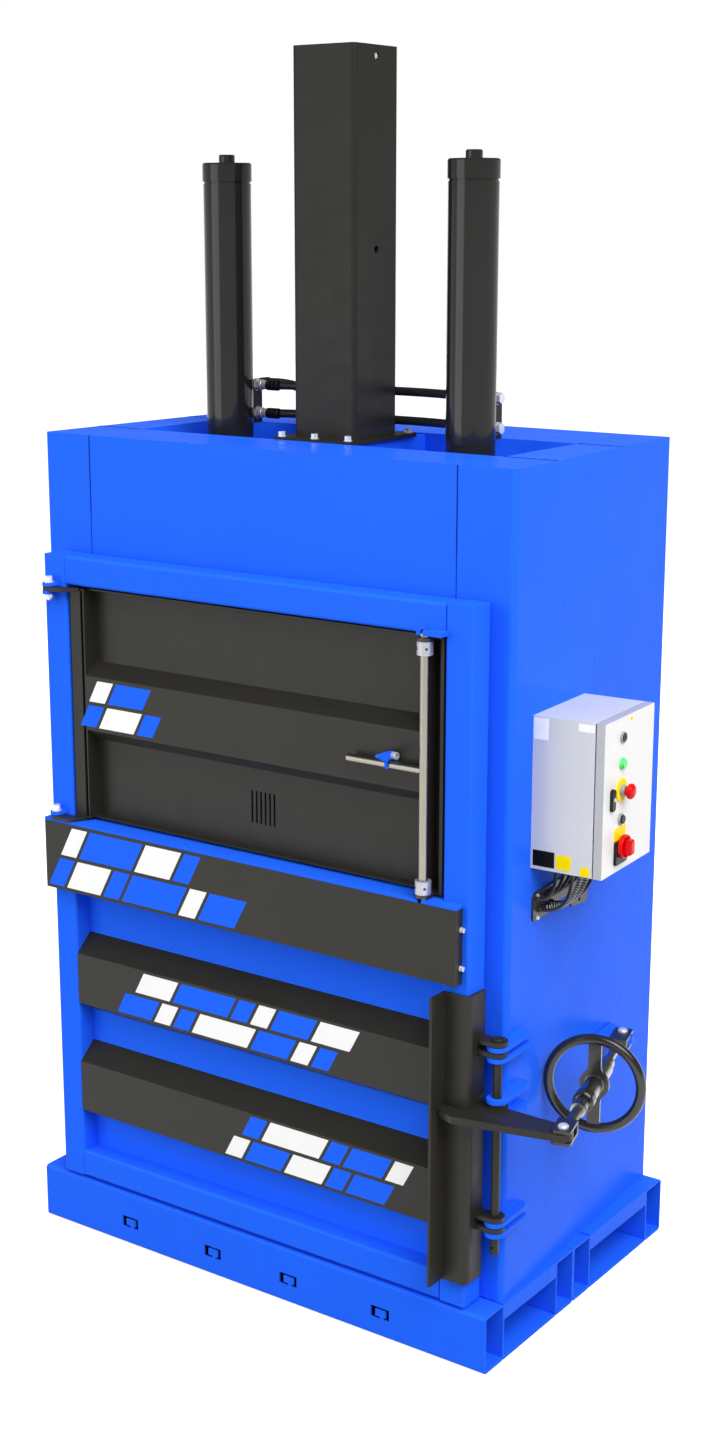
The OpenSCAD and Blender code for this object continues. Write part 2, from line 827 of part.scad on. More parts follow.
// Channel along an upright edge of the gate, open to the front beside its lip
module gate_edge_channel(lip) {
    depth = gate_y - gate_face;
    h = gate_z1 - gate_z0;
    translate([0, gate_face, gate_z0]) difference() {
        cube([gate_edge + gate_t, depth, h]);
        translate([gate_t, gate_t, gate_t]) cube([gate_edge - gate_t, depth - 2 * gate_t, h - 2 * gate_t]);
        translate([lip, -eps, gate_t]) cube([gate_edge - lip, 2 * gate_t, h - 2 * gate_t]);
    }
}

module feed_gate() {
    tray = gate_edge + gate_t - eps;
    color(black) difference() {
        union() {
            translate([gate_l + tray, 0, 0]) rotate([90, 0, 90])
                linear_extrude(gate_r - gate_l - 2 * tray) gate_section();
            translate([gate_l, 0, 0]) gate_edge_channel(hinge_lip);
            translate([gate_r, 0, 0]) mirror([1, 0, 0]) gate_edge_channel(lock_lip);
        }
        for (i = [0:5])
            translate([vent_x + (i - 2.5) * vent_pitch - vent_w / 2, gate_y - 2 * gate_t, vent_z])
                cube([vent_w, 3 * gate_t, vent_h]);
    }
}

// Lugs from the gate's hinge edge round the stile to the hinge bolts
module gate_lugs() {
    color(black) for (z = lug_levels) translate([0, 0, z]) linear_extrude(lug_h) difference() {
        union() {
            translate([gate_axis_x, gate_axis_y]) circle(17);
            polygon([[gate_axis_x, gate_axis_y - 17], [gate_l + 12, gate_axis_y - 17],
                [gate_l + hinge_lip, gate_face - 4], [gate_l + hinge_lip, gate_face],
                [gate_l, gate_face], [gate_l - 2, gate_axis_y + 17], [gate_axis_x, gate_axis_y + 17]]);
        }
        translate([gate_axis_x, gate_axis_y]) circle(d = gate_bolt_d + 2 * fit);
    }
}

bracket_t = 8;
collar_h = 34;
collar_d = 42;
bracket_r = 20;
bracket_levels = [gate_z0 - 4, gate_z1 - 6];
collar_levels = [bracket_levels[0] + bracket_t + 1, bracket_levels[1] - collar_h - 1];
catch_x = lock_x - 105;
handle_z = 1612 - 1272 + sill_z;
catch_z = handle_z + handle_d / 2 + 12;
catch_y = gate_face - 13;
catch_bolt_d = 12;
catch_t = 8;
catch_arm = 10;

// Guides for the lock rod on the gate's free edge, and the catch's bracket with its bolt
module rod_brackets() {
    color(black) {
        for (z = bracket_levels) translate([0, 0, z]) linear_extrude(bracket_t) difference() {
            union() {
                translate([lock_x, lock_y]) circle(bracket_r);
                translate([lock_x - bracket_r, lock_y]) square([2 * bracket_r, gate_face - lock_y]);
            }
            translate([lock_x, lock_y]) circle(d = lock_d + 2 * fit);
        }
        translate([catch_x - catch_t / 2 - 1 - catch_arm, gate_face - 24, catch_z - 9]) difference() {
            cube([catch_arm, 24, 18]);
            translate([-1, 24 + catch_y - gate_face, 9]) rotate([0, 90, 0])
                cylinder(d = catch_bolt_d + 2 * eps, h = catch_arm + 2);
        }
    }
    color(zinc) translate([catch_x - catch_t / 2 - catch_arm - 4, catch_y, catch_z]) rotate([0, 90, 0]) {
        cylinder(d = catch_bolt_d, h = catch_t + catch_arm + 5);
        cylinder(d = 18, h = 3);
        translate([0, 0, catch_t + catch_arm + 5]) difference() {
            cylinder(d = 20, h = 14);
            translate([0, 0, 7]) hex(10, 8);
        }
    }
}

// Lock rod with its flat tips, set collars and handle bar
module lock_rod() {
    body_z0 = sill_z + strip_t + 4;
    body_z1 = gate_z1 + 4;
    color(steel) {
        translate([lock_x, lock_y, body_z0]) cylinder(d = lock_d, h = body_z1 - body_z0);
        for (z = [[rod_z0, body_z0 + 1], [body_z1 - 1, rod_z1]])
            translate([lock_x - tip_w / 2, lock_y - tip_t / 2, z[0]]) cube([tip_w, tip_t, z[1] - z[0]]);
        translate([lock_x - handle_len, lock_y, handle_z]) rotate([0, 90, 0])
            cylinder(d = handle_d, h = handle_len);
    }
    color(zinc) for (z = collar_levels)
        translate([lock_x, lock_y, z]) difference() {
            cylinder(d = collar_d, h = collar_h);
            translate([0, 0, -eps]) cylinder(d = lock_d - 1, h = collar_h + 2 * eps);
        }
}

// Gravity catch that drops over the handle bar
module gate_catch() {
    under = handle_z + handle_d / 2 + 1.5 - catch_z;
    nose_y = lock_y - handle_d / 2 - 0.6 - catch_y;
    color(blue) translate([catch_x - catch_t / 2, catch_y, catch_z]) rotate([90, 0, 90])
        linear_extrude(catch_t) difference() {
            union() {
                circle(11);
                polygon([[0, 11], [-62, 13], [-65, 8], [nose_y - 5.4, under - 3],
                    [nose_y - 3.2, under - 20.5], [nose_y - 0.6, under - 20.5], [nose_y, under],
                    [0, under]]);
            }
            circle(d = catch_bolt_d + 2 * fit);
        }
}

// Door clamp

pin_x = hx + 4;
pin_y = yf - 48;
lug_pitch = lug_t + lug_gap;
lug_r = 27;
upper_lugs = 923 - 250 + jaw_z;
lower_lugs = 439 - 250 + jaw_z;
arm_hub_h = 11;
mid_lugs = [arm_z + arm_hub_h + 1.5, arm_z - arm_t - arm_hub_h - 1.5 - lug_t];
blue_levels = concat([for (top = [upper_lugs, lower_lugs], i = [1, 3]) top - lug_t - i * lug_pitch],
    mid_lugs);
black_levels = [for (top = [upper_lugs, lower_lugs], i = [0, 2]) top - lug_t - i * lug_pitch];
lug_back = yf + 62;

// Blue lugs on the body's front corner
module post_lugs() {
    color(blue) for (z = blue_levels) translate([0, 0, z]) linear_extrude(lug_t) difference() {
        lug_outline([pin_x, pin_y], [panel_x(lug_back) + 4, lug_back], lug_r, lug_r);
        translate([pin_x, pin_y]) circle(d = pin_d + 2 * eps);
        side_outline();
    }
}

module jaw_pin() {
    z0 = lower_lugs - 4 * lug_pitch - 50;
    z1 = upper_lugs + 4;
    color(black) translate([pin_x, pin_y, z0]) difference() {
        cylinder(d = pin_d, h = z1 - z0);
        translate([0, 0, 20]) rotate([90, 0, 0]) cylinder(d = 6, h = pin_d + 2, center = true);
    }
}

jaw_web_y = door_front - 18;
jaw_side_x = door_r + 7 + jaw_t;
jaw_left_x = door_r - 59;
jaw_bend = 22;
jaw_side_back = pin_y + 10;
flange_reach = 58;

// Plan of the clamp channel: stiffening flange, web over the stile, bend and side wall
module jaw_outline() {
    translate([jaw_left_x - jaw_t, jaw_web_y - flange_reach]) square([jaw_t, flange_reach + jaw_t]);
    difference() {
        bent_corner(jaw_left_x - jaw_t, jaw_side_x, jaw_web_y, jaw_side_back, jaw_bend);
        bent_corner(jaw_left_x - 2 * jaw_t, jaw_side_x - jaw_t, jaw_web_y + jaw_t, jaw_side_back + jaw_t,
            jaw_bend - jaw_t);
    }
}

// Rectangle whose right front corner is round
module bent_corner(x0, x1, y0, y1, r) {
    translate([x0, y0]) square([x1 - r - x0, y1 - y0]);
    translate([x0, y0 + r]) square([x1 - x0, y1 - y0 - r]);
    translate([x1 - r, y0 + r]) circle(r);
}

// The channel, cut through where the arm crosses it
module jaw_channel() {
    color(black) difference() {
        translate([0, 0, jaw_z]) linear_extrude(jaw_len) jaw_outline();
        translate([jaw_left_x, jaw_web_y - flange_reach - 1, arm_z - arm_t])
            cube([2 * jaw_len, flange_reach + 200, arm_t]);
    }
}

arm_end = [pin_x + arm_reach, pin_y - 28];
arm_end_r = 31;
// The arm's hole is larger than its bolt, and off its middle, so that the straight screw can follow
// the arm's round path
bolt_slack = 5.8;
arm_hole = arm_end + [-5.1, -1.4];

module arm_outline() {
    difference() {
        union() {
            polygon([[jaw_left_x, jaw_web_y + jaw_t], [jaw_left_x, jaw_web_y - 32],
                [jaw_left_x + 56, jaw_web_y - 54], [arm_hole[0] - 8, arm_hole[1] - arm_end_r + 1],
                [arm_hole[0], arm_hole[1] + arm_end_r], [pin_x + 30, pin_y + 4], [pin_x, pin_y + lug_r],
                [jaw_side_x, jaw_side_back], [jaw_side_x - jaw_t, jaw_side_back],
                [jaw_side_x - jaw_t, jaw_web_y + jaw_t]]);
            translate([pin_x, pin_y]) circle(lug_r + 2);
            translate(arm_hole) circle(arm_end_r);
        }
        translate([pin_x, pin_y]) circle(d = pin_d + 2 * fit);
        translate(arm_hole) circle(d = bolt_d + 2 * bolt_slack);
    }
}

// The arm with its hub, and the black lugs on the channel's side wall
module jaw_plates() {
    color(black) {
        translate([0, 0, arm_z - arm_t]) linear_extrude(arm_t) arm_outline();
        for (z = [arm_z, arm_z - arm_t - arm_hub_h])
            translate([pin_x, pin_y, z]) difference() {
                cylinder(r = lug_r - 4, h = arm_hub_h);
                translate([0, 0, -eps]) cylinder(d = pin_d + 2 * fit, h = arm_hub_h + 2 * eps);
            }
        for (z = black_levels) translate([0, 0, z]) linear_extrude(lug_t) difference() {
            union() {
                translate([pin_x, pin_y]) circle(lug_r - 1);
                translate([jaw_side_x, pin_y - lug_r + 1]) square([pin_x - jaw_side_x, 2 * lug_r - 14]);
            }
            translate([pin_x, pin_y]) circle(d = pin_d + 2 * fit);
        }
    }
}

screw_z = arm_z - arm_t / 2;
anchor = [panel_x(560 + yf) + 70, 560 + yf];
screw_dir = arm_end - anchor;
screw_len = norm(screw_dir);
screw_angle = atan2(screw_dir[1], screw_dir[0]);

// Places its children on the screw: +X runs from the anchor bolt to the arm's bolt
module on_screw() {
    translate([anchor[0], anchor[1], screw_z]) rotate([0, 0, screw_angle]) children();
}

module anchor_plate() {
    root = [[panel_x(anchor[1] - 62), anchor[1] - 62], [panel_x(anchor[1] + 62), anchor[1] + 62]];
    color(blue) translate([0, 0, screw_z - arm_t / 2]) linear_extrude(arm_t) difference() {
        union() {
            translate(anchor) circle(30);
            polygon([root[0], [anchor[0] + 8, anchor[1] - 29], [anchor[0] + 8, anchor[1] + 29], root[1]]);
        }
        translate(anchor) circle(d = bolt_d + 2 * eps);
    }
}

fork_t = 8;
fork_gap = 1.5;
fork_w = 50;
fork_end = 26;
fork_chamfer = 6;
fork_len = 54;
fork_out = arm_t / 2 + fork_gap + fork_t;
screw_d = 28;
neck_d = 24;
barrel_d = 50;
barrel_front = 128;
barrel_back = 96;
wheel_at = screw_len / 2;

// Two plates each side of the clamped plate, joined by a block that carries the screw
module fork(reach) {
    difference() {
        union() {
            for (side = [-1, 1])
                translate([0, 0, side * (fork_out - fork_t / 2) - fork_t / 2]) linear_extrude(fork_t)
                    polygon([[reach, -fork_w / 2], [reach, fork_w / 2],
                        [fork_chamfer - fork_end, fork_w / 2], [-fork_end, fork_w / 2 - fork_chamfer],
                        [-fork_end, fork_chamfer - fork_w / 2],
                        [fork_chamfer - fork_end, -fork_w / 2]]);
            translate([reach - 10, -fork_w / 2, -fork_out]) cube([10, fork_w, 2 * fork_out]);
        }
        translate([0, 0, -fork_out - 1]) cylinder(d = bolt_d + 2 * fit, h = 2 * fork_out + 2);
    }
}

// Bolt through a fork, with a low round head at each end
module through_bolt() {
    translate([0, 0, -fork_out]) cylinder(d = bolt_d, h = 2 * fork_out);
    for (side = [0, 180]) rotate([side, 0, 0]) translate([0, 0, fork_out])
        rotate_extrude()
            polygon([[0, 0], [0.7, 0], [0.7, 0.2], [0.55, 0.38], [0.3, 0.45], [0, 0.45]] * bolt_d);
}

module rear_screw() {
    color(black) on_screw() {
        fork(62);
        translate([62 - eps, 0, 0]) rotate([0, 90, 0]) cylinder(d = neck_d, h = wheel_at - 42 - 62);
    }
}

front_bore = 43;
spoke_w = 34;
spoke_t = 10;
hub_r = barrel_d / 2 + 15;
hub_fillet = 30;

// A quarter of the spoke bar's outline: the hub, the fillet beside it and the spoke's edge
function spoke_quarter() =
    let (cx = spoke_w / 2 + hub_fillet, cz = sqrt(pow(hub_r + hub_fillet, 2) - cx * cx),
        meet = atan2(cz, cx))
    concat([for (i = [0:6]) let (a = meet * i / 6) hub_r * [cos(a), sin(a)]],
        [for (i = [1:6]) let (a = 180 + meet * (1 - i / 6)) [cx, cz] + hub_fillet * [cos(a), sin(a)]],
        [[spoke_w / 2, wheel_d / 2]]);

module spoke_outline() {
    q = spoke_quarter();
    n = len(q) - 1;
    polygon(concat(q, [for (i = [n:-1:0]) [-q[i][0], q[i][1]]], [for (i = [1:n]) -q[i]],
        [for (i = [n:-1:1]) [q[i][0], -q[i][1]]]));
}

// Wheel rim, flat spoke bar with a hub, and the threaded barrel that it turns
module handwheel() {
    color(black) on_screw() translate([wheel_at, 0, 0]) difference() {
        union() {
            rotate([0, 90, 0]) rotate_extrude($fn = 72) translate([wheel_d / 2, 0]) circle(d = rim_d);
            translate([-spoke_t / 2, 0, 0]) rotate([90, 0, 90]) linear_extrude(spoke_t) spoke_outline();
            rotate([0, 90, 0]) rotate_extrude() polygon([[0, -barrel_back], [barrel_d / 2 - 9, -barrel_back],
                [barrel_d / 2 - 7, -barrel_back + 4], [barrel_d / 2 - 7, -barrel_back + 34],
                [barrel_d / 2, -barrel_back + 40], [barrel_d / 2, barrel_front - 34],
                [barrel_d / 2 + 3, barrel_front - 34], [barrel_d / 2 + 3, barrel_front - 4],
                [barrel_d / 2 - 1, barrel_front], [0, barrel_front]]);
        }
        translate([-barrel_back - 1, 0, 0]) rotate([0, 90, 0])
            cylinder(d = neck_d + 2 * fit, h = barrel_back);
        translate([-36, 0, 0]) rotate([0, 90, 0]) cylinder(d = front_bore, h = barrel_front + 37);
    }
}

sleeve_d = 38;
sleeve_len = 44;
ring_len = 7;

// Fork with its rod, a sleeve and a ring in front of the barrel, and the guide that runs in its bore
module front_screw() {
    guide_at = wheel_at + barrel_front - 22;
    sleeve_at = wheel_at + barrel_front + 0.6;
    color(black) on_screw() {
        translate([screw_len, 0, 0]) rotate([0, 0, 180]) fork(fork_len);
        translate([guide_at, 0, 0]) rotate([0, 90, 0])
            cylinder(d = screw_d, h = screw_len - fork_len - guide_at + eps);
        translate([guide_at, 0, 0]) rotate([0, 90, 0]) cylinder(d = front_bore - 2 * fit, h = 14);
        translate([sleeve_at, 0, 0]) rotate([0, 90, 0]) cylinder(d = sleeve_d, h = sleeve_len);
        translate([sleeve_at + sleeve_len - eps, 0, 0]) rotate([0, 90, 0])
            cylinder(d = front_bore - 0.6, h = ring_len);
    }
}

module arm_bolt() {
    color(zinc) translate([arm_end[0], arm_end[1], screw_z]) through_bolt();
}

// Control box on the right side panel

box_wall = 2;
box_y0 = yf + box_y;
door_lip = 3;
control_x = 100;
face_x = box_d + door_lip + box_door_t;
key_z = 349;
start_z = 281;
stop_z = 212;
reset_z = 136;
isolator_z = 66;
lock_at = [46, 197];
box_hinge_d = 10;
box_pin_d = 5;
box_hinge_x = box_d - 30;
box_hinge_y = box_w + box_hinge_d / 2 + 0.6;
box_hinge_levels = [40, box_h - 80];
box_arm = 30 + door_lip;

module in_box() {
    on_panel(box_y0, box_z) children();
}

module control_box() {
    color(grey) in_box() {
        difference() {
            cube([box_d, box_w, box_h]);
            translate([box_wall, box_wall, box_wall])
                cube([box_d, box_w - 2 * box_wall, box_h - 2 * box_wall]);
        }
        for (z = box_hinge_levels) translate([box_hinge_x, box_hinge_y, z]) {
            cylinder(d = box_hinge_d, h = 19);
            cylinder(d = box_pin_d, h = 34);
            translate([-box_hinge_d / 2, box_w - box_hinge_y, 0])
                cube([box_hinge_d, box_hinge_y - box_w, 19]);
        }
    }
}

// Folded door: a tray over the box's front with its hinge arms on the rear edge
module control_door() {
    color("#f0f2f8") in_box() {
        difference() {
            translate([box_d + door_lip, 0, 0]) cube([box_door_t, box_w, box_h]);
            translate([box_d + door_lip - eps, box_wall, box_wall])
                cube([box_door_t - box_wall + eps, box_w - 2 * box_wall, box_h - 2 * box_wall]);
            for (z = [key_z, start_z, stop_z, reset_z, isolator_z])
                translate([face_x - 2 * box_wall, control_x, z]) rotate([0, 90, 0])
                    cylinder(d = 22, h = 3 * box_wall);
        }
        for (z = box_hinge_levels) translate([box_hinge_x, box_hinge_y, z + 19.5]) {
            difference() {
                union() {
                    cylinder(d = box_hinge_d, h = 20);
                    translate([0, -1, 0]) cube([box_arm + box_door_t / 2, 2, 20]);
                    translate([box_arm, box_w - box_hinge_y, 0])
                        cube([box_door_t / 2, box_hinge_y - box_w, 20]);
                }
                translate([0, 0, -eps]) cylinder(d = box_pin_d + 2 * fit, h = 16);
            }
        }
    }
}

bezel_d = 30;
bezel_h = 6;
plate_t = 3;

// Fixed rings, the yellow stop disc, the isolator's plate and the door lock's housing
module panel_fittings() {
    in_box() {
        for (z = [key_z, start_z, reset_z]) color(black) translate([face_x, control_x, z]) rotate([0, 90, 0])
            difference() {
                cylinder(d = bezel_d, h = bezel_h);
                translate([0, 0, -eps]) cylinder(d = 22, h = bezel_h + 2 * eps);
            }
        color("#ffd400") translate([face_x, control_x, stop_z]) rotate([0, 90, 0]) difference() {
            cylinder(d = 62, h = plate_t);
            translate([0, 0, -eps]) cylinder(d = 22, h = plate_t + 2 * eps);
        }
        color(black) translate([face_x, control_x - 33, isolator_z - 48]) difference() {
            cube([8, 66, 96]);
            translate([-eps, 33, 48]) rotate([0, 90, 0]) cylinder(d = 16 + 2 * fit, h = 9);
        }
        color(black) translate([face_x, lock_at[0] - 10, lock_at[1] - 28]) cube([6, 20, 56]);
    }
}

module button(z, d, out) {
    translate([face_x - 20, control_x, z]) rotate([0, 90, 0]) {
        cylinder(d = 21.4, h = 20 + out);
        if (d > 21.4) translate([0, 0, 20 + out - 1]) cylinder(d = d, h = 3);
    }
}

stop_travel = 6;
button_travel = 4;

// Red mushroom head of the stop button
module stop_head() {
    color("#d81010") in_box() {
        button(stop_z, 21.4, plate_t + 18);
        translate([face_x + plate_t + 18, control_x, stop_z]) rotate([0, 90, 0])
            rotate_extrude() polygon([[0, 0], [17, 0], [20, 3], [20, 9], [16, 14], [8, 17], [0, 17]]);
    }
}

module start_button() {
    color("#12a03a") in_box() button(start_z, 21.4, bezel_h + 4.5);
}

module reset_button() {
    color(black) in_box() button(reset_z, 21.4, bezel_h + 4.5);
}

module key_switch() {
    color(steel) in_box() translate([face_x - 20, control_x, key_z]) rotate([0, 90, 0]) {
        difference() {
            cylinder(d = 21.4, h = 20 + bezel_h + 2);
            translate([-1.2, -6, 24]) cube([2.4, 12, 6]);
        }
    }
}

module isolator_handle() {
    color("#d81010") in_box() translate([face_x - 12, control_x, isolator_z]) rotate([0, 90, 0]) {
        cylinder(d = 16, h = 21);
        translate([0, 0, 20.5]) {
            cylinder(d = 62, h = 12);
            translate([-29, -8, 12 - eps]) cube([58, 16, 18]);
        }
    }
}

gland_t = 6;
gland_top = -73;
gland_low = -148;
cable_d = 11;

// Plate where the cables go through the side panel, with a lower end beside it
module gland_plate() {
    outline = [[10, gland_low + 6], [16, gland_low], [111, gland_low], [117, gland_low + 6],
        [117, gland_low + 18], [230, gland_low + 18], [230, gland_low - 14], [238, gland_low - 23],
        [316, gland_low - 31], [325, gland_low - 23], [325, gland_top - 12], [313, gland_top],
        [22, gland_top], [10, gland_top - 12]];
    in_box() {
        color(black) difference() {
            translate([0.05, 0, 0]) rotate([90, 0, 90]) linear_extrude(gland_t) polygon(outline);
            translate([-1, 278, gland_low - 13]) rotate([0, 90, 0]) cylinder(d = 12, h = gland_t + 2);
        }
        color(zinc) for (z = [gland_top - 10, gland_low + 5]) translate([gland_t + 0.05, 33, z])
            rotate([0, 90, 0]) cylinder(d = 9, h = 4);
    }
}

// Cables from the box's underside, bending down and forward into the gland plate
module control_cables() {
    color(black) on_panel(box_y0, 0) for (i = [0:8]) {
        row = i % 2;
        from = [44 + 34 * row, 62 + i * 24, box_z];
        to = [gland_t, 26 + 12 * i, box_z + gland_top - 18 - 30 * row];
        path = [for (k = [0:10]) curve_at([from, from - [0, 0, 60 + 34 * row],
            to + [44 + 34 * row, 0, 0], to], k / 10)];
        tube_along(path, cable_d / 2 - (i == 8 ? 0 : 1), 8);
    }
}

front_beam();
centre_beams();
rear_beam();
pocket_plates();
chamber_floor();
left_side_wall();
right_side_wall();
header();
rear_wall();
rear_top_beam();
top_bridge();
cylinder_deck();
left_cylinder();
right_cylinder();
guide_tube();
frame_bolts();
port_blocks();
port_fittings();
hydraulic_hoses();
piston_rods();
mast();
platen();
door_left_stile();
door_right_stile();
door_top_rail();
door_mid_rail();
door_bottom_rail();
door_skin();
door_ribs();
mid_band();
sill_strip();
door_bolts();
hinge_posts();
hinge_knuckles();
gate_ears();
rod_keeper();
feed_gate();
gate_lugs();
rod_brackets();
lock_rod();
gate_catch();
post_lugs();
jaw_pin();
jaw_channel();
jaw_plates();
anchor_plate();
rear_screw();
handwheel();
front_screw();
arm_bolt();
control_box();
control_door();
panel_fittings();
stop_head();
start_button();
reset_button();
key_switch();
isolator_handle();
gland_plate();
control_cables();
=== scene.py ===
"""Looks of the twin-cylinder recycling baler: finishes, livery, small hardware and a studio stage."""

import json
import math

import bpy
import numpy as np
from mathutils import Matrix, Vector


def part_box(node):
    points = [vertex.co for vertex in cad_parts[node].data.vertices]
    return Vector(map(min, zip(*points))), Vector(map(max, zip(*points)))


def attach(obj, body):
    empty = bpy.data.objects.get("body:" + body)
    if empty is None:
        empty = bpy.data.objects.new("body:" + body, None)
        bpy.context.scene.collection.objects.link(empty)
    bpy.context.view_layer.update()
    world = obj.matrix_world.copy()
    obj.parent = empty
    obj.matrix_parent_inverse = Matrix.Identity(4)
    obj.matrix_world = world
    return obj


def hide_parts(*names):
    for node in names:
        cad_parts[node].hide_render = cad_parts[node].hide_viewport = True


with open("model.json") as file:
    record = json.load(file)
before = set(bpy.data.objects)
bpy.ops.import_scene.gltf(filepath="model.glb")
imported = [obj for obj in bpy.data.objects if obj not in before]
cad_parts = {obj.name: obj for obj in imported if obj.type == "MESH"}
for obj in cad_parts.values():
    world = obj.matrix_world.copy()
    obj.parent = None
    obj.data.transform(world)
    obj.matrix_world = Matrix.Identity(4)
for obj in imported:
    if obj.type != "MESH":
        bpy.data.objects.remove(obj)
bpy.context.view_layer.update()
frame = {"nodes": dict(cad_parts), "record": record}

bl_info = {
    "name": "Recycling Baler Looks",
    "version": (1, 0, 0),
    "blender": (4, 5, 0),
    "location": "View3D > Sidebar > Baler",
    "description": "Finishes and small hardware for a recycling baler",
    "category": "Object",
}

X, Y, Z = np.eye(3)

# The control box stands on the tapered side panel: OUT leaves the panel, ALONG runs back over it.
BOX_AT = np.array([0.764793, -0.289, 1.335])
TAPER = math.atan2(0.049, 0.892)
OUT = np.array([math.cos(TAPER), math.sin(TAPER), 0.0])
ALONG = np.array([-math.sin(TAPER), math.cos(TAPER), 0.0])

# How far the control door's face stands out, how far back its controls and its lock are, and how high
# each control is over the box's foot.
FACE = 0.199
CONTROL = 0.100
LOCK = 0.046
KEY_UP, START_UP, STOP_UP, RESET_UP, ISOLATOR_UP = 0.349, 0.281, 0.212, 0.136, 0.066

# The clamp's screw, from the anchor bolt to the arm's bolt, and the place of the clamp's pin.
SCREW_FROM = np.array([0.810238, 0.158, 0.732])
SCREW_TO = np.array([0.985, -0.478, 0.732])
PIN = (0.775, -0.45)

# The lock rod's axis, and the feet and the height of its collars.
ROD = np.array([0.585, -0.512, 0.0])
COLLARS = (1.293, 1.906)
COLLAR = 0.034

# The cylinders' ports, the line of the cross hoses behind them, and the levels of the hoses.
PORT_X, PORT_Y = 0.378, 0.063
HOSE_Y = 0.102
HOSE_LEVELS = (2.401, 2.480)

# The supply hose, from the left cylinder's upper fitting down into the body behind it.
SUPPLY_FROM, SUPPLY_TO = (-0.403, 0.0885, 2.480), (-0.253, 0.216, 2.360)

# How many control cables there are, and which of them have a spiral wrap.
CABLES = 9
WRAPPED = (3, 5)

# Where weld beads lie: the fronts of the body and the door, and the heights of the faces of the blue lugs
# that carry the clamp's pin, the feet of the hinge posts, the faces of the gate's ears and the jaw's lugs.
BODY_FRONT, DOOR_FRONT = -0.4022, -0.4982
LUGS = (0.8965, 0.9085, 0.8675, 0.8795, 0.4125, 0.4245, 0.3835, 0.3955, 0.7545, 0.7665, 0.6975, 0.7095)
POSTS = (0.225, 0.655, 1.297, 1.820)
EARS = (1.292, 1.302, 1.929, 1.939, 1.951, 1.961)
JAW_LUGS = (0.882, 0.894, 0.911, 0.923, 0.398, 0.410, 0.427, 0.439)

# Depths that the beads on the blue lugs and the jaw's lugs run between, the jaw's side, the width between
# the ends of the bead over the lock rod's upper bracket, and that bead's height.
LUG_Y, JAW_Y = (-0.388, -0.316), (-0.472, -0.440)
JAW_X = 0.7302
BRACKET_X, BRACKET_UP = (0.572, 0.641), 1.957

# Half the width of a seam on the body and of one at its back.
SEAM, BACK_SEAM = 0.0012, 0.0008

# Places across of the strap slots, their height, and the thickness of the beam's wall.
STRAPS = (-0.446, -0.135, 0.135, 0.446)
STRAP_UP = 0.070
BEAM_WALL = 0.006

# Rows of film bars on a body: the node that they lie on, where the row starts, its lower and upper edge,
# and each bar's colour and width in units.
BAR_UNIT = 0.058
BARS = {
    "main_door": (
        ("mid_band", -0.690, 1.082, 1.166, "b1 w2 b1 b3 w1 b2"),
        ("mid_band", -0.640, 1.177, 1.262, "w1 b3 w2 b1"),
        ("door_ribs", -0.470, 0.730, 0.792, "b2 w1 b1 w3 b2 w1 b1"),
        ("door_ribs", -0.400, 0.803, 0.866, "w2 b3 b1 w1 b2 w2"),
        ("door_ribs", -0.080, 0.395, 0.457, "w1 b2 w2 b1 b2"),
        ("door_ribs", -0.020, 0.468, 0.531, "b1 w3 b1 b2 w1"),
    ),
    "gate": (
        ("feed_gate", -0.585, 1.558, 1.620, "b1 w2 b1"),
        ("feed_gate", -0.550, 1.631, 1.692, "w1 b2"),
    ),
}

# The camera's place, its tilt below level and its turn about upright, in metres and degrees.
EYE = (3.2988, -4.6341, 2.9419)
TILT, TURN = 13.682, 35.4

# Soft boxes: place, the point that they face, and power in watts.
SOFT_BOX_SIZE = 7.0
SOFT_BOXES = {
    "soft_box_key": ((6.2, -3.2, 8.4), (0, 0, 1.4), 1000),
    "soft_box_front": ((-4.5, -9.0, 3.8), (0, 0, 1.2), 350),
    "soft_box_back": ((-4.0, 8.0, 5.5), (0, 0, 1.2), 260),
}

# Faces that meet at more than this angle keep a sharp edge.
SHARP = math.radians(30)

# Half the width over which a mask fades.
SOFT = 0.0004


def in_box(out, along, up):
    """A place given in the control box's own directions, in metres."""
    return BOX_AT + out * OUT + along * ALONG + up * Z


def on_wall(y, z):
    """The place on the tapered right side panel at a given depth and height."""
    return np.array([BOX_AT[0] - (y - BOX_AT[1]) * math.tan(TAPER), y, z])


def corner(node, side):
    """Lowest (side 0) or highest (side 1) corner of a CAD node, as an array in metres."""
    return np.array(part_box(node)[side])


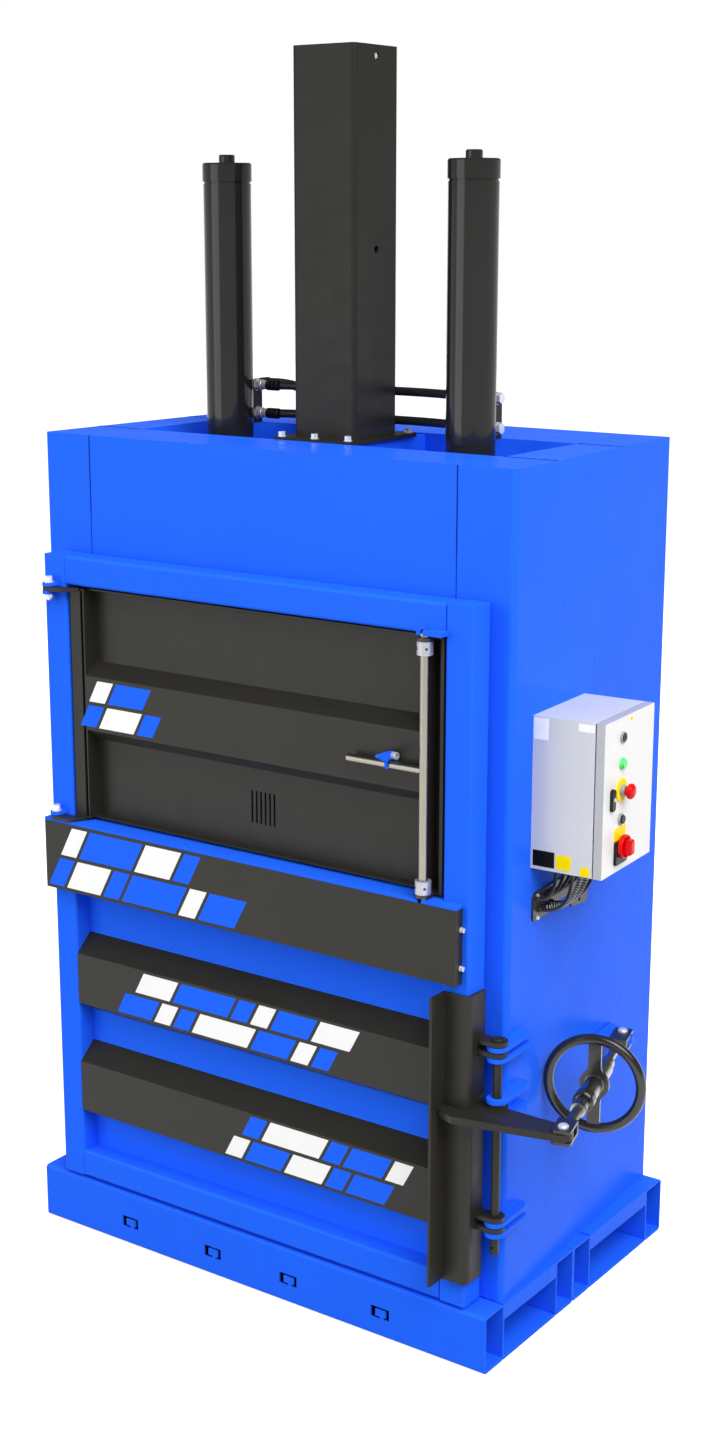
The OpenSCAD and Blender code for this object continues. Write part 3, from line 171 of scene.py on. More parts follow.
class Shape:
    """Collects surfaces worked out as arrays, and makes one mesh piece of them."""

    def __init__(self):
        self.points = []
        self.faces = []
        self.count = 0

    def grid(self, p, wrap_u=False, wrap_v=False):
        """Quads over a grid p[u, v]; a wrapped side joins its last row to its first."""
        nu, nv = p.shape[:2]
        index = self.count + np.arange(nu * nv).reshape(nu, nv)
        a = np.concatenate([index, index[:1]]) if wrap_u else index
        a = np.concatenate([a, a[:, :1]], axis=1) if wrap_v else a
        quads = np.stack([a[:-1, :-1], a[1:, :-1], a[1:, 1:], a[:-1, 1:]], axis=-1).reshape(-1, 4)
        self.points.append(p.reshape(-1, 3))
        self.faces.extend(quads.tolist())
        self.count += nu * nv
        return index

    def cap(self, ring, flip=False):
        """One flat face over a ring of point numbers."""
        self.faces.append([int(i) for i in (ring[::-1] if flip else ring)])

    def mesh(self, name, material):
        """The collected surfaces as a mesh in one material."""
        made = bpy.data.meshes.new(name)
        made.from_pydata(np.concatenate(self.points).tolist(), [], self.faces)
        made.materials.append(material)
        return made

    def piece(self, name, material, body, slot):
        """The collected surfaces as an object that rides on a CAD body."""
        mesh = self.mesh(name, material)
        mesh.validate()
        mesh.shade_smooth()
        mesh.set_sharp_from_angle(angle=SHARP)
        made = bpy.data.objects.new(name, mesh)
        bpy.context.scene.collection.objects.link(made)
        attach(made, body)
        return made


def unit(v):
    """Vectors along the last axis, at length one."""
    v = np.asarray(v, float)
    return v / np.linalg.norm(v, axis=-1, keepdims=True)


def side_axes(axis):
    """Two directions square to an axis and to each other, right-handed with it."""
    axis = unit(axis)
    a = unit(np.cross(axis, X if abs(axis[0]) < 0.8 else Y))
    return a, np.cross(axis, a)


def revolved(profile, origin, axis, sides):
    """Grid of a profile of (radius, height) points carried round an axis in equal steps of angle."""
    profile = np.asarray(profile, float)
    a, b = side_axes(axis)
    angle = np.linspace(0, 2 * math.pi, sides, endpoint=False)
    spoke = np.cos(angle)[:, None] * a + np.sin(angle)[:, None] * b
    return np.asarray(origin) + profile[:, None, 1:] * unit(axis) + profile[:, None, :1] * spoke[None]


def turned(shape, profile, origin, axis, sides):
    """A profile of (radius, height) points turned about an axis; flat ends are closed."""
    index = shape.grid(revolved(profile, origin, axis, sides), wrap_v=True)
    if profile[0][0] > 0:
        shape.cap(index[0], flip=True)
    if profile[-1][0] > 0:
        shape.cap(index[-1])


def ring(shape, profile, origin, axis, sides=40):
    """A closed profile of (radius, height) points turned about an axis, as a ring with a hole."""
    shape.grid(revolved(profile, origin, axis, sides), wrap_u=True, wrap_v=True)


def curved(points, steps):
    """Points along a cubic curve with the four given handles, ends included."""
    t = np.linspace(0, 1, steps)[:, None]
    a, b, c, d = np.asarray(points, float)
    return a * (1 - t) ** 3 + 3 * b * t * (1 - t) ** 2 + 3 * c * t * t * (1 - t) + d * t ** 3


def swept(shape, path, radius, sides):
    """A round section carried along a path, square to its direction; radius may change along it."""
    path = np.asarray(path, float)
    t = unit(np.gradient(path, axis=0))
    ref = X if np.abs(t[:, 0]).max() < 0.9 else (Z if np.abs(t[:, 2]).max() < 0.9 else Y)
    a = unit(np.cross(t, ref))
    b = np.cross(t, a)
    angle = np.linspace(0, 2 * math.pi, sides, endpoint=False)[None, :, None]
    r = np.broadcast_to(np.asarray(radius, float), len(path))[:, None, None]
    p = path[:, None] + r * (np.cos(angle) * a[:, None] + np.sin(angle) * b[:, None])
    index = shape.grid(p, wrap_v=True)
    shape.cap(index[0], flip=True)
    shape.cap(index[-1])


def coil(path, radius, turns, steps):
    """A helix round most of a path: points between two shares of it, turned about it in equal steps."""
    step = np.arange(len(path))
    fine = np.linspace(0.16, 0.96, steps) * step[-1]
    heading = unit(np.gradient(path, axis=0))
    middle, t = [np.stack([np.interp(fine, step, column) for column in values.T], 1)
                 for values in (path, heading)]
    u = unit(np.cross(unit(t), ALONG))
    v = np.cross(unit(t), u)
    angle = np.linspace(0, 2 * math.pi * turns, steps)[:, None]
    return middle + radius * (np.cos(angle) * u + np.sin(angle) * v)


def plate(shape, outline, origin, ex, ey, depth, chamfer=0.0):
    """A flat outline in the plane of ex and ey, raised along ex x ey, with a small edge chamfer."""
    outline = np.asarray(outline, float)
    ex, ey = unit(ex), unit(ey)
    ez = np.cross(ex, ey)
    middle = outline.mean(0)
    size = np.abs(outline - middle).max()
    inset = middle + (outline - middle) * (1 - chamfer / max(size, 1e-9))
    rings = [(outline, 0.0), (outline, depth - chamfer), (inset, depth)] if chamfer else [
        (outline, 0.0), (outline, depth)]
    p = np.stack([np.asarray(origin) + o[:, :1] * ex + o[:, 1:] * ey + h * ez for o, h in rings])
    index = shape.grid(p, wrap_v=True)
    shape.cap(index[0], flip=True)
    shape.cap(index[-1])


def bead(shape, start, end, radius=0.003):
    """A weld bead from start to end: a round section that swells and narrows every two radii."""
    start, end = np.asarray(start, float), np.asarray(end, float)
    length = np.linalg.norm(end - start)
    t = np.linspace(0, 1, max(12, int(length / radius * 3)))
    swell = 1 + 0.10 * np.sin(t * length / radius * math.pi) - 0.35 * np.abs(2 * t - 1) ** 12
    swept(shape, start + t[:, None] * (end - start), radius * swell, 10)


def rounded(w, h, r, steps=6):
    """Outline of a rectangle about its middle: a quarter circle at each corner, one after the other."""
    angle = np.linspace(0, math.pi / 2, steps) + np.arange(4)[:, None] * math.pi / 2
    arc = r * np.stack([np.cos(angle), np.sin(angle)], -1)
    corners = np.array([(1, 1), (-1, 1), (-1, -1), (1, -1)])[:, None]
    return (arc + corners * [w / 2 - r, h / 2 - r]).reshape(-1, 2)


def feed(tree, socket, value):
    """Links a socket to the one given as its value, or sets the value."""
    if isinstance(value, bpy.types.NodeSocket):
        tree.links.new(value, socket)
    else:
        socket.default_value = value


def node(tree, kind, **inputs):
    """A shader node with its sockets set or linked by name, spaces written as _."""
    made = tree.nodes.new(kind)
    for key, value in inputs.items():
        feed(tree, made.inputs[key.replace("_", " ")], value)
    return made


def spread(tree, value, low, high, start=0.0, end=1.0):
    """A value taken from the range start to end into the range low to high."""
    return node(tree, "ShaderNodeMapRange", Value=value, From_Min=start, From_Max=end,
                To_Min=low, To_Max=high).outputs["Result"]


class Finish:
    """A procedural surface on object coordinates: colour blotches, roughness changes and fine bump."""

    def __init__(self, name, colour, roughness, metallic=0.0, specular=0.5):
        self.material = bpy.data.materials.new(name)
        self.material.use_nodes = True
        self.material.diffuse_color = (*colour, 1)
        self.tree = self.material.node_tree
        self.shader = self.tree.nodes["Principled BSDF"]
        self.shader.inputs["Metallic"].default_value = metallic
        self.shader.inputs["Specular IOR Level"].default_value = specular
        self.colour = colour
        self.roughness = roughness
        self.place = node(self.tree, "ShaderNodeTexCoord").outputs["Object"]

    def noise(self, scale, detail=3.0, rough=0.5, stretch=None):
        """Noise of a given scale, drawn out along the axes by stretch."""
        where = self.place
        if stretch:
            mapping = node(self.tree, "ShaderNodeMapping", Vector=self.place, Scale=stretch)
            where = mapping.outputs["Vector"]
        return node(self.tree, "ShaderNodeTexNoise", Vector=where, Scale=scale, Detail=detail,
                    Roughness=rough).outputs["Fac"]

    def vector(self, operation, a, b, out="Vector"):
        """A vector operation on a socket and a fixed triple, which may be None."""
        made = self.tree.nodes.new("ShaderNodeVectorMath")
        made.operation = operation
        feed(self.tree, made.inputs[0], a)
        if b is not None:
            feed(self.tree, made.inputs[1], tuple(b))
        return made.outputs[out]

    def under(self, value, limit):
        """1 where a value is under a limit, 0 where it is over it."""
        return self.ranged(value, 1.0, 0.0, limit - SOFT, limit + SOFT)

    def within(self, point, radius):
        """1 inside a ball about a point, 0 outside it."""
        return self.under(self.vector("DISTANCE", self.place, point, "Value"), radius)

    def round_axis(self, point, axis, radius):
        """1 nearer than a radius to a line, 0 further away."""
        away = self.vector("CROSS_PRODUCT", self.vector("SUBTRACT", self.place, point), axis)
        return self.under(self.vector("LENGTH", away, None, "Value"), radius)

    def between(self, point, axis, low, high):
        """1 where the distance along an axis from a point lies between low and high."""
        away = self.vector("SUBTRACT", self.place, point)
        along = self.vector("DOT_PRODUCT", away, axis, "Value")
        return self.both(self.ranged(along, 0.0, 1.0, low - SOFT, low + SOFT), self.under(along, high))

    def joined(self, operation, a, b):
        """Two masks put together by a Math operation."""
        made = self.tree.nodes.new("ShaderNodeMath")
        made.operation = operation
        self.tree.links.new(a, made.inputs[0])
        self.tree.links.new(b, made.inputs[1])
        return made.outputs[0]

    def both(self, a, b):
        """The mask where two masks meet."""
        return self.joined("MULTIPLY", a, b)

    def either(self, *masks):
        """The mask that covers every given mask."""
        whole = masks[0]
        for mask in masks[1:]:
            whole = self.joined("MAXIMUM", whole, mask)
        return whole

    def ranged(self, value, low, high, start=0.3, end=0.7):
        """A value spread between low and high; start to end is where most of a noise lies."""
        return spread(self.tree, value, low, high, start, end)

    def mixed(self, fac, a, b):
        """Colour a where the socket fac is 0 and b where it is 1."""
        mix = self.tree.nodes.new("ShaderNodeMix")
        mix.data_type = "RGBA"
        self.tree.links.new(fac, mix.inputs[0])
        for number, value in ((6, a), (7, b)):
            fixed = not isinstance(value, bpy.types.NodeSocket)
            feed(self.tree, mix.inputs[number], (*value, 1) if fixed else value)
        return mix.outputs[2]

    def blotch(self, scale, amount):
        """Slow colour changes either side of the base colour."""
        low = tuple(c * (1 - amount) for c in self.colour)
        high = tuple(min(1.0, c * (1 + amount)) for c in self.colour)
        return self.mixed(self.ranged(self.noise(scale), 0.0, 1.0), low, high)

    def done(self, colour, rough_noise, rough_amount, bump_noise, bump_strength, bump_distance, edge=0.0):
        """Links colour, roughness and bump to the shader; edge is the radius that sharp edges shade with."""
        link = self.tree.links.new
        link(colour, self.shader.inputs["Base Color"])
        link(self.ranged(rough_noise, self.roughness - rough_amount, self.roughness + rough_amount),
             self.shader.inputs["Roughness"])
        bump = node(self.tree, "ShaderNodeBump", Height=bump_noise, Strength=bump_strength,
                    Distance=bump_distance)
        if edge:
            bevel = node(self.tree, "ShaderNodeBevel", Radius=edge)
            bevel.samples = 4
            link(bevel.outputs["Normal"], bump.inputs["Normal"])
        link(bump.outputs["Normal"], self.shader.inputs["Normal"])
        return self.material


def paint(name, colour, roughness, peel=0.012, specular=0.5, blotch=0.05, edge=0.0):
    """Sprayed paint: a little uneven in colour and gloss, with fine orange peel and soft edges."""
    f = Finish(name, colour, roughness, specular=specular)
    return f.done(f.blotch(2.5, blotch), f.noise(7.0), 0.05, f.noise(320.0, 2.0), peel, 0.0004, edge)


def powder(name, colour, roughness, grain=0.15, specular=0.4, blotch=0.08, edge=0.0):
    """Powder coat: close grain, a faint cloudiness and soft edges."""
    f = Finish(name, colour, roughness, specular=specular)
    return f.done(f.blotch(6.0, blotch), f.noise(18.0), 0.06, f.noise(900.0, 2.0), grain, 0.0003, edge)


def two_metals(name, mask_of, under, over, roughness, shine):
    """One node in two metals or coats: under and over are (colour, metallic), with roughness and shine
    as how rough each is, and over takes the place of under where the mask is 1."""
    f = Finish(name, under[0], roughness)
    mask = mask_of(f)
    link = f.tree.links.new
    link(f.ranged(mask, under[1], over[1], 0.0, 1.0), f.shader.inputs["Metallic"])
    cloud = f.ranged(f.noise(60.0), 0.0, 1.0)
    low = f.mixed(cloud, under[0], tuple(c * 1.06 for c in under[0]))
    high = f.mixed(cloud, over[0], tuple(c * 0.97 for c in over[0]))
    link(f.mixed(mask, low, high), f.shader.inputs["Base Color"])
    grain = f.noise(260.0, 3.0)
    gloss = f.joined("ADD", f.ranged(mask, roughness, shine, 0.0, 1.0), f.ranged(grain, -0.02, 0.02))
    link(gloss, f.shader.inputs["Roughness"])
    bump = node(f.tree, "ShaderNodeBump", Height=grain, Strength=0.01, Distance=0.0002)
    link(bump.outputs["Normal"], f.shader.inputs["Normal"])
    return f.material


def drawn(name, colour, roughness, along):
    """Drawn or turned bright metal: fine lines along one direction."""
    f = Finish(name, colour, roughness, metallic=1.0)
    lines = f.noise(400.0, 4.0, 0.6, stretch=along)
    return f.done(f.blotch(9.0, 0.12), lines, 0.1, lines, 0.18, 0.0003)


def plated(name, colour, tint, roughness):
    """Zinc plate: bright metal with slow tinted clouds."""
    f = Finish(name, colour, roughness, metallic=0.45)
    cloud = f.mixed(f.ranged(f.noise(55.0, 3.0), 0.0, 1.0), colour, tint)
    return f.done(cloud, f.noise(120.0), 0.09, f.noise(700.0), 0.2, 0.0003)


def moulded(name, colour, roughness, grain=0.2, specular=0.4):
    """Moulded plastic or rubber: even colour with a fine spark-eroded grain."""
    f = Finish(name, colour, roughness, specular=specular)
    return f.done(f.blotch(20.0, 0.06), f.noise(60.0), 0.05, f.noise(1400.0, 2.0), grain, 0.0002)


def own_keys(settings):
    """Names of the settings that a property group adds to Blender's own."""
    return [key for key in settings.bl_rna.properties.keys() if key not in ("rna_type", "name")]


def colour_prop(name, words, default):
    """A colour that a user may change."""
    return bpy.props.FloatVectorProperty(name=name, description=words, default=default, size=3,
                                         min=0.0, max=1.0, subtype="COLOR")


class BALER_PG_finishes(bpy.types.PropertyGroup):
    """Colours of the baler's finishes."""
    body_blue: colour_prop("Body blue", "Enamel of the body and the door frame", (0.0160, 0.134, 0.97))
    satin_black: colour_prop("Satin black", "Paint of the gate, ribs, band and clamp",
                             (0.0217, 0.0205, 0.0165))
    tube_black: colour_prop("Tube black", "Paint of the guide tube", (0.0205, 0.0196, 0.0165))
    gloss_black: colour_prop("Gloss black", "Enamel of the cylinders", (0.0150, 0.0146, 0.0132))
    box_grey: colour_prop("Box grey", "Powder coat of the control box", (0.60, 0.605, 0.60))
    door_white: colour_prop("Door white", "Powder coat of the control door", (0.80, 0.80, 0.795))
    # Door lip: a darker grey painted on the control door's folded edge as shade.
    door_lip: colour_prop("Door lip", "Powder coat of the control door's folded edge", (0.42, 0.425, 0.43))
    bright_zinc: colour_prop("Bright zinc", "Plating of the bolts", (0.70, 0.71, 0.78))
    collar_zinc: colour_prop("Collar zinc", "Plating of the lock rod's collars", (0.42, 0.43, 0.47))
    rod_steel: colour_prop("Rod steel", "Drawn steel of the lock rod", (0.266, 0.251, 0.206))


class BALER_PG_livery(bpy.types.PropertyGroup):
    """The slanted bars on the band, the ribs and the gate."""
    lean: bpy.props.FloatProperty(name="Lean", description="Slant of the bars from upright",
                                  default=math.radians(28), subtype="ANGLE", unit="ROTATION")
    gap: bpy.props.FloatProperty(name="Gap", description="Space between bars", default=0.011,
                                 unit="LENGTH")
    film: bpy.props.FloatProperty(name="Film", description="Thickness of the film", default=0.0003,
                                  unit="LENGTH")
    bar_blue: colour_prop("Bar blue", "Blue film", (0.0160, 0.134, 0.97))
    bar_white: colour_prop("Bar white", "White film", (0.94, 0.94, 0.94))


class BALER_PG_stage(bpy.types.PropertyGroup):
    """Camera and light."""
    lens: bpy.props.FloatProperty(name="Lens", description="Focal length", default=51.53, unit="CAMERA")
    fill: bpy.props.FloatProperty(name="Fill", description="Strength of the room's light", default=0.70)
    key: bpy.props.FloatProperty(name="Key", description="Strength of the soft boxes", default=1.0)
    ceiling: bpy.props.FloatProperty(name="Ceiling", default=0.12,
                                     description="Brightness of the room's upper half in reflections")


FINISH = {}


class BALER_OT_finishes(bpy.types.Operator):
    """Make the finishes and lay them on the CAD nodes"""
    bl_idname = "baler.finishes"
    bl_label = "Finishes"

    def execute(self, context):
        p = context.scene.baler_finishes
        c = {key: tuple(getattr(p, key)) for key in own_keys(p)}
        axis = unit(SCREW_TO - SCREW_FROM)
        wheel_at = np.linalg.norm(SCREW_TO - SCREW_FROM) / 2
        steel, enamel = ((0.32, 0.32, 0.31), 1.0), ((0.017, 0.0165, 0.015), 0.0)
        zinc, coat = (c["bright_zinc"], 0.45), (c["satin_black"], 0.0)
        catch_bolt = (0.4925, -0.503, 1.634)
        screws = [in_box(0.006, 0.033, z) for z in (-0.083, -0.143)]
        FINISH.update(
            blue=paint("body_enamel", c["body_blue"], 0.30, specular=0.03, blotch=0.02, edge=0.002),
            black=powder("satin_black", c["satin_black"], 0.36, specular=0.20, blotch=0.04, edge=0.0015),
            tube=powder("tube_black", c["tube_black"], 0.34, specular=0.12, blotch=0.03, edge=0.0015),
            gloss=paint("cylinder_enamel", c["gloss_black"], 0.10, peel=0.02, specular=0.28, blotch=0.02),
            press=powder("press_paint", (0.05, 0.05, 0.05), 0.5),
            chrome=drawn("ground_chrome", (0.75, 0.75, 0.77), 0.12, (1, 1, 0.02)),
            rod=two_metals("drawn_rod", lambda f: f.either(
                *[f.between(z * Z, Z, -0.0005, COLLAR + 0.0005) for z in COLLARS]),
                (c["rod_steel"], 1.0), (c["collar_zinc"], 0.45), 0.30, 0.28),
            zinc=plated("bolt_plating", c["bright_zinc"], (0.74, 0.74, 0.77), 0.30),
            ports=two_metals("port_plating", lambda f: f.either(
                *[f.between(x * X, X, -0.0002, 0.0031) for x in (-PORT_X, PORT_X + 0.050)]),
                zinc, ((0.72, 0.46, 0.10), 1.0), 0.24, 0.30),
            bracket=two_metals("bracket_coat", lambda f: f.within(catch_bolt, 0.0146),
                               coat, zinc, 0.36, 0.24),
            gland=two_metals("gland_coat", lambda f: f.either(*[f.within(q, 0.0062) for q in screws]),
                             coat, zinc, 0.40, 0.26),
            wheel=two_metals("wheel_enamel", lambda f: f.both(
                f.round_axis(SCREW_FROM, axis, 0.0262),
                f.between(SCREW_FROM + wheel_at * axis, axis, -0.2, 0.0935)),
                enamel, steel, 0.20, 0.30),
            front=two_metals("front_screw_steel", lambda f: f.both(
                f.round_axis(SCREW_FROM, axis, 0.0203),
                f.between(SCREW_FROM, axis, 0.3, 0.6052)), enamel, steel, 0.30, 0.30),
            steel=drawn("barrel_steel", steel[0], 0.30, (1, 1, 1)),
            rear=two_metals("rear_screw_steel", lambda f: f.between(SCREW_FROM, axis, 0.0622, 0.4),
                            enamel, steel, 0.30, 0.30),
            hose=moulded("hose_rubber", (0.016, 0.016, 0.016), 0.4, 0.4),
            cable=moulded("cable_sheath", (0.020, 0.020, 0.020), 0.34),
            conduit=moulded("pale_conduit", (0.56, 0.57, 0.58), 0.4),
            grey=powder("box_coat", c["box_grey"], 0.36, grain=0.2, blotch=0.02, edge=0.0015),
            # The door's face is door white; its folded edge takes the darker lip grey, which is painted
            # shade.
            white=two_metals("door_coat", lambda f: f.between(BOX_AT, OUT, FACE - 0.0008, FACE + 0.01),
                             (c["door_lip"], 0.0), (c["door_white"], 0.0), 0.36, 0.36),
            seam=moulded("seam_shadow", (0.003, 0.020, 0.20), 0.5, specular=0.05),
            switch=moulded("switch_plastic", (0.008, 0.008, 0.008), 0.35, specular=0.2),
            # Jet black: the real black sheet on the box's side, and painted shade in the strap tunnels.
            jet=moulded("plate_black", (0.004, 0.004, 0.004), 0.4, specular=0.06),
            silver=drawn("satin_ring", (0.50, 0.52, 0.53), 0.32, (1, 1, 1)),
            bezel=moulded("ring_grey", (0.30, 0.34, 0.35), 0.3),
            red=moulded("signal_red", (0.72, 0.002, 0.003), 0.22, specular=0.15),
            green=moulded("start_green", (0.13, 0.80, 0.22), 0.28, specular=0.15),
            yellow=moulded("stop_yellow", (0.98, 0.74, 0.0), 0.3, specular=0.06),
            plain=moulded("plain_white", (0.93, 0.93, 0.93), 0.4, specular=0.1),
        )
        by_slot = {"blue_paint": "blue", "black_paint": "black", "gloss_black_paint": "gloss",
                   "press_paint": "press", "chromed_rod": "chrome", "bright_steel": "rod",
                   "zinc_plate": "zinc", "dark_steel": "wheel", "hose_rubber": "hose",
                   "cable_sheath": "cable", "grey_paint": "grey", "pale_paint": "white",
                   "black_plastic": "switch", "red_plastic": "red", "green_plastic": "green"}
        own = {"guide_tube": "tube", "front_screw": "front", "rear_screw": "rear", "gland_plate": "gland",
               "rod_brackets": "bracket", "port_fittings": "ports", "key_switch": "switch"}
        for entry in frame["record"]["subparts"]:
            name = entry["node"]
            mesh = frame["nodes"][name].data
            mesh.materials.clear()
            mesh.materials.append(FINISH[own.get(name, by_slot[entry["material_slot"]])])
        return {"FINISHED"}


class BALER_OT_controls(bpy.types.Operator):
    """Make the rings, plates and knobs on the control door, and the plain sheets on the box's side"""
    bl_idname = "baler.controls"
    bl_label = "Controls"

    def execute(self, context):
        bezel = [(0.0109, 0.0), (0.0150, 0.0), (0.0150, 0.0042), (0.0140, 0.0060), (0.0118, 0.0060),
                 (0.0109, 0.0052)]
        stop_collar = [(0.0112, 0.003), (0.0145, 0.003), (0.0145, 0.011), (0.0132, 0.0125),
                       (0.0132, 0.0142), (0.0112, 0.0142)]
        stop_disc = [(0.0109, 0.0), (0.0310, 0.0), (0.0310, 0.0022), (0.0302, 0.0030), (0.0109, 0.0030)]
        lock_end = [(0.0060, 0.0), (0.0060, 0.0100), (0.0052, 0.0108), (0.0, 0.0108)]
        dish = [(0.008, -0.0205), (0.008, 0.0), (0.0285, 0.0), (0.031, 0.002), (0.031, 0.0105),
                (0.0298, 0.012), (0.0272, 0.012), (0.0262, 0.0110), (0.0255, 0.0030), (0.0, 0.0030)]
        grip = [(-0.009, -0.020), (0.009, -0.020), (0.010, -0.008), (0.010, 0.008), (0.009, 0.020),
                (-0.009, 0.020), (-0.010, 0.008), (-0.010, -0.008)]

        def on_door(up, along=CONTROL, proud=0.0):
            return in_box(FACE + proud, along, up)

        rings = Shape()
        for up in (KEY_UP, RESET_UP):
            ring(rings, bezel, on_door(up), OUT)
        ring(rings, stop_collar, on_door(STOP_UP), OUT)
        made = rings.piece("switch_rings", FINISH["bezel"], "control_door", "black_plastic")
        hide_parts("panel_fittings")
        lens = Shape()
        ring(lens, bezel, on_door(START_UP), OUT)
        lens.piece("start_ring", FINISH["green"], "control_door", "green_plastic")
        disc = Shape()
        ring(disc, stop_disc, on_door(STOP_UP), OUT, 64)
        plate(disc, rounded(0.066, 0.034, 0.002), on_door(ISOLATOR_UP + 0.033), ALONG, Z, 0.0012, 0.0003)
        plate(disc, rounded(0.014, 0.011, 0.001), on_door(0.386, 0.151), ALONG, Z, 0.0005)
        disc.piece("yellow_plates", FINISH["yellow"], "control_door", "black_plastic")
        base = Shape()
        plate(base, rounded(0.066, 0.062, 0.005), on_door(ISOLATOR_UP - 0.015), ALONG, Z, 0.008, 0.0015)
        plate(base, rounded(0.020, 0.058, 0.0085), on_door(0.197, LOCK), ALONG, Z, 0.0085, 0.002)
        base.piece("isolator_base", FINISH["switch"], "control_door", "black_plastic")
        insert = Shape()
        turned(insert, lock_end, on_door(0.200, LOCK), OUT, 32)
        insert.piece("lock_insert", FINISH["silver"], "control_door", "bright_steel")
        knob = Shape()
        turned(knob, dish, on_door(ISOLATOR_UP, proud=0.0085), OUT, 64)
        plate(knob, grip, on_door(ISOLATOR_UP, proud=0.0110), ALONG, Z, 0.0275, 0.004)
        made = knob.piece("isolator_knob", FINISH["red"], "isolator_handle", "red_plastic")
        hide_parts("isolator_handle")
        # Sheets on the side: the place out and up of the middle, width and height.
        sheets = {"jet": [(0.0365, 0.030, 0.061, 0.042)],
                  "yellow": [(0.0925, 0.028, 0.041, 0.038), (0.152, 0.0135, 0.026, 0.024)],
                  "plain": [(0.0225, 0.368, 0.041, 0.056), (0.148, 0.385, 0.044, 0.020)]}
        for key, spots in sheets.items():
            film = Shape()
            for out, up, w, h in spots:
                plate(film, rounded(w, h, 0.002), in_box(out, 0.0, up), OUT, Z, 0.0004)
            film.piece(f"blank_{key}_plates", FINISH[key], "machine",
                       "pale_paint" if key == "plain" else "black_plastic")
        return {"FINISHED"}


class BALER_OT_hoses(bpy.types.Operator):
    """Make the hydraulic hoses with their stems and sleeves"""
    bl_idname = "baler.hoses"
    bl_label = "Hoses"

    def execute(self, context):
        hoses, sleeves, stems = Shape(), Shape(), Shape()
        stem = [(0.0145, 0.0), (0.0145, 0.006), (0.0128, 0.008), (0.0128, 0.026)]
        sleeve = [(0.0130, 0.024), (0.0150, 0.026), (0.0150, 0.034), (0.0139, 0.0355), (0.0139, 0.0385),
                  (0.0150, 0.040), (0.0150, 0.048), (0.0139, 0.0495), (0.0139, 0.0525), (0.0150, 0.054),
                  (0.0150, 0.062), (0.0124, 0.066)]

        def fitted(place, axis):
            turned(sleeves, sleeve, place, axis, 32)
            turned(stems, stem, place, axis, 32)

        for z in HOSE_LEVELS:
            half = curved([(0.016 - PORT_X, PORT_Y, z), (0.090 - PORT_X, PORT_Y, z),
                           (0.110 - PORT_X, HOSE_Y, z), (-0.111, HOSE_Y, z)], 24)
            swept(hoses, np.concatenate([half, half[::-1] * [-1, 1, 1]]), 0.012, 24)
            for side in (-1, 1):
                fitted((side * (PORT_X - 0.0165), PORT_Y, z), (-side, 0, 0))
        (x, y, z), (end_x, end_y, end_z) = SUPPLY_FROM, SUPPLY_TO
        supply = curved([(x, y + 0.0005, z), (x, end_y, z), (end_x, end_y, z), (end_x, end_y, end_z)], 40)
        swept(hoses, supply, 0.0135, 24)
        fitted(SUPPLY_FROM, Y)
        made = hoses.piece("hose_tubes", FINISH["hose"], "machine", "hose_rubber")
        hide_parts("hydraulic_hoses")
        sleeves.piece("hose_sleeves", FINISH["switch"], "machine", "zinc_plate")
        stems.piece("hose_stems", FINISH["zinc"], "machine", "zinc_plate")
        return {"FINISHED"}


class BALER_OT_cables(bpy.types.Operator):
    """Make the control cables under the box, with their glands and spiral wrap"""
    bl_idname = "baler.cables"
    bl_label = "Control cables"

    def execute(self, context):
        cables, glands, spiral = Shape(), Shape(), Shape()
        gland = [(0.0095, 0.0), (0.0095, 0.006), (0.0085, 0.007), (0.0085, 0.010), (0.0078, 0.015),
                 (0.0062, 0.018)]
        boot = [(0.0078, 0.0), (0.0078, 0.006), (0.0064, 0.009)]
        for i in range(CABLES):
            row = i % 2
            reach = 0.044 + 0.034 * row
            a = in_box(reach, 0.062 + 0.024 * i, 0.0)
            b = in_box(0.006, 0.026 + 0.012 * i, -0.091 - 0.030 * row)
            path = curved([a, a - (0.016 + reach) * Z, b + reach * OUT, b], 40)
            swept(cables, path, 0.0055 if i == CABLES - 1 else 0.0046, 14)
            turned(glands, gland, a, -Z, 6 if i % 3 else 20)
            turned(cables, boot, b, OUT, 20)
            if i in WRAPPED:
                swept(spiral, coil(path, 0.0058, 22, 420), 0.0014, 6)
        made = cables.piece("cable_runs", FINISH["cable"], "machine", "cable_sheath")
        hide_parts("control_cables")
        glands.piece("cable_glands", FINISH["conduit"], "machine", "grey_paint")
        spiral.piece("spiral_wrap", FINISH["conduit"], "machine", "grey_paint")
        return {"FINISHED"}


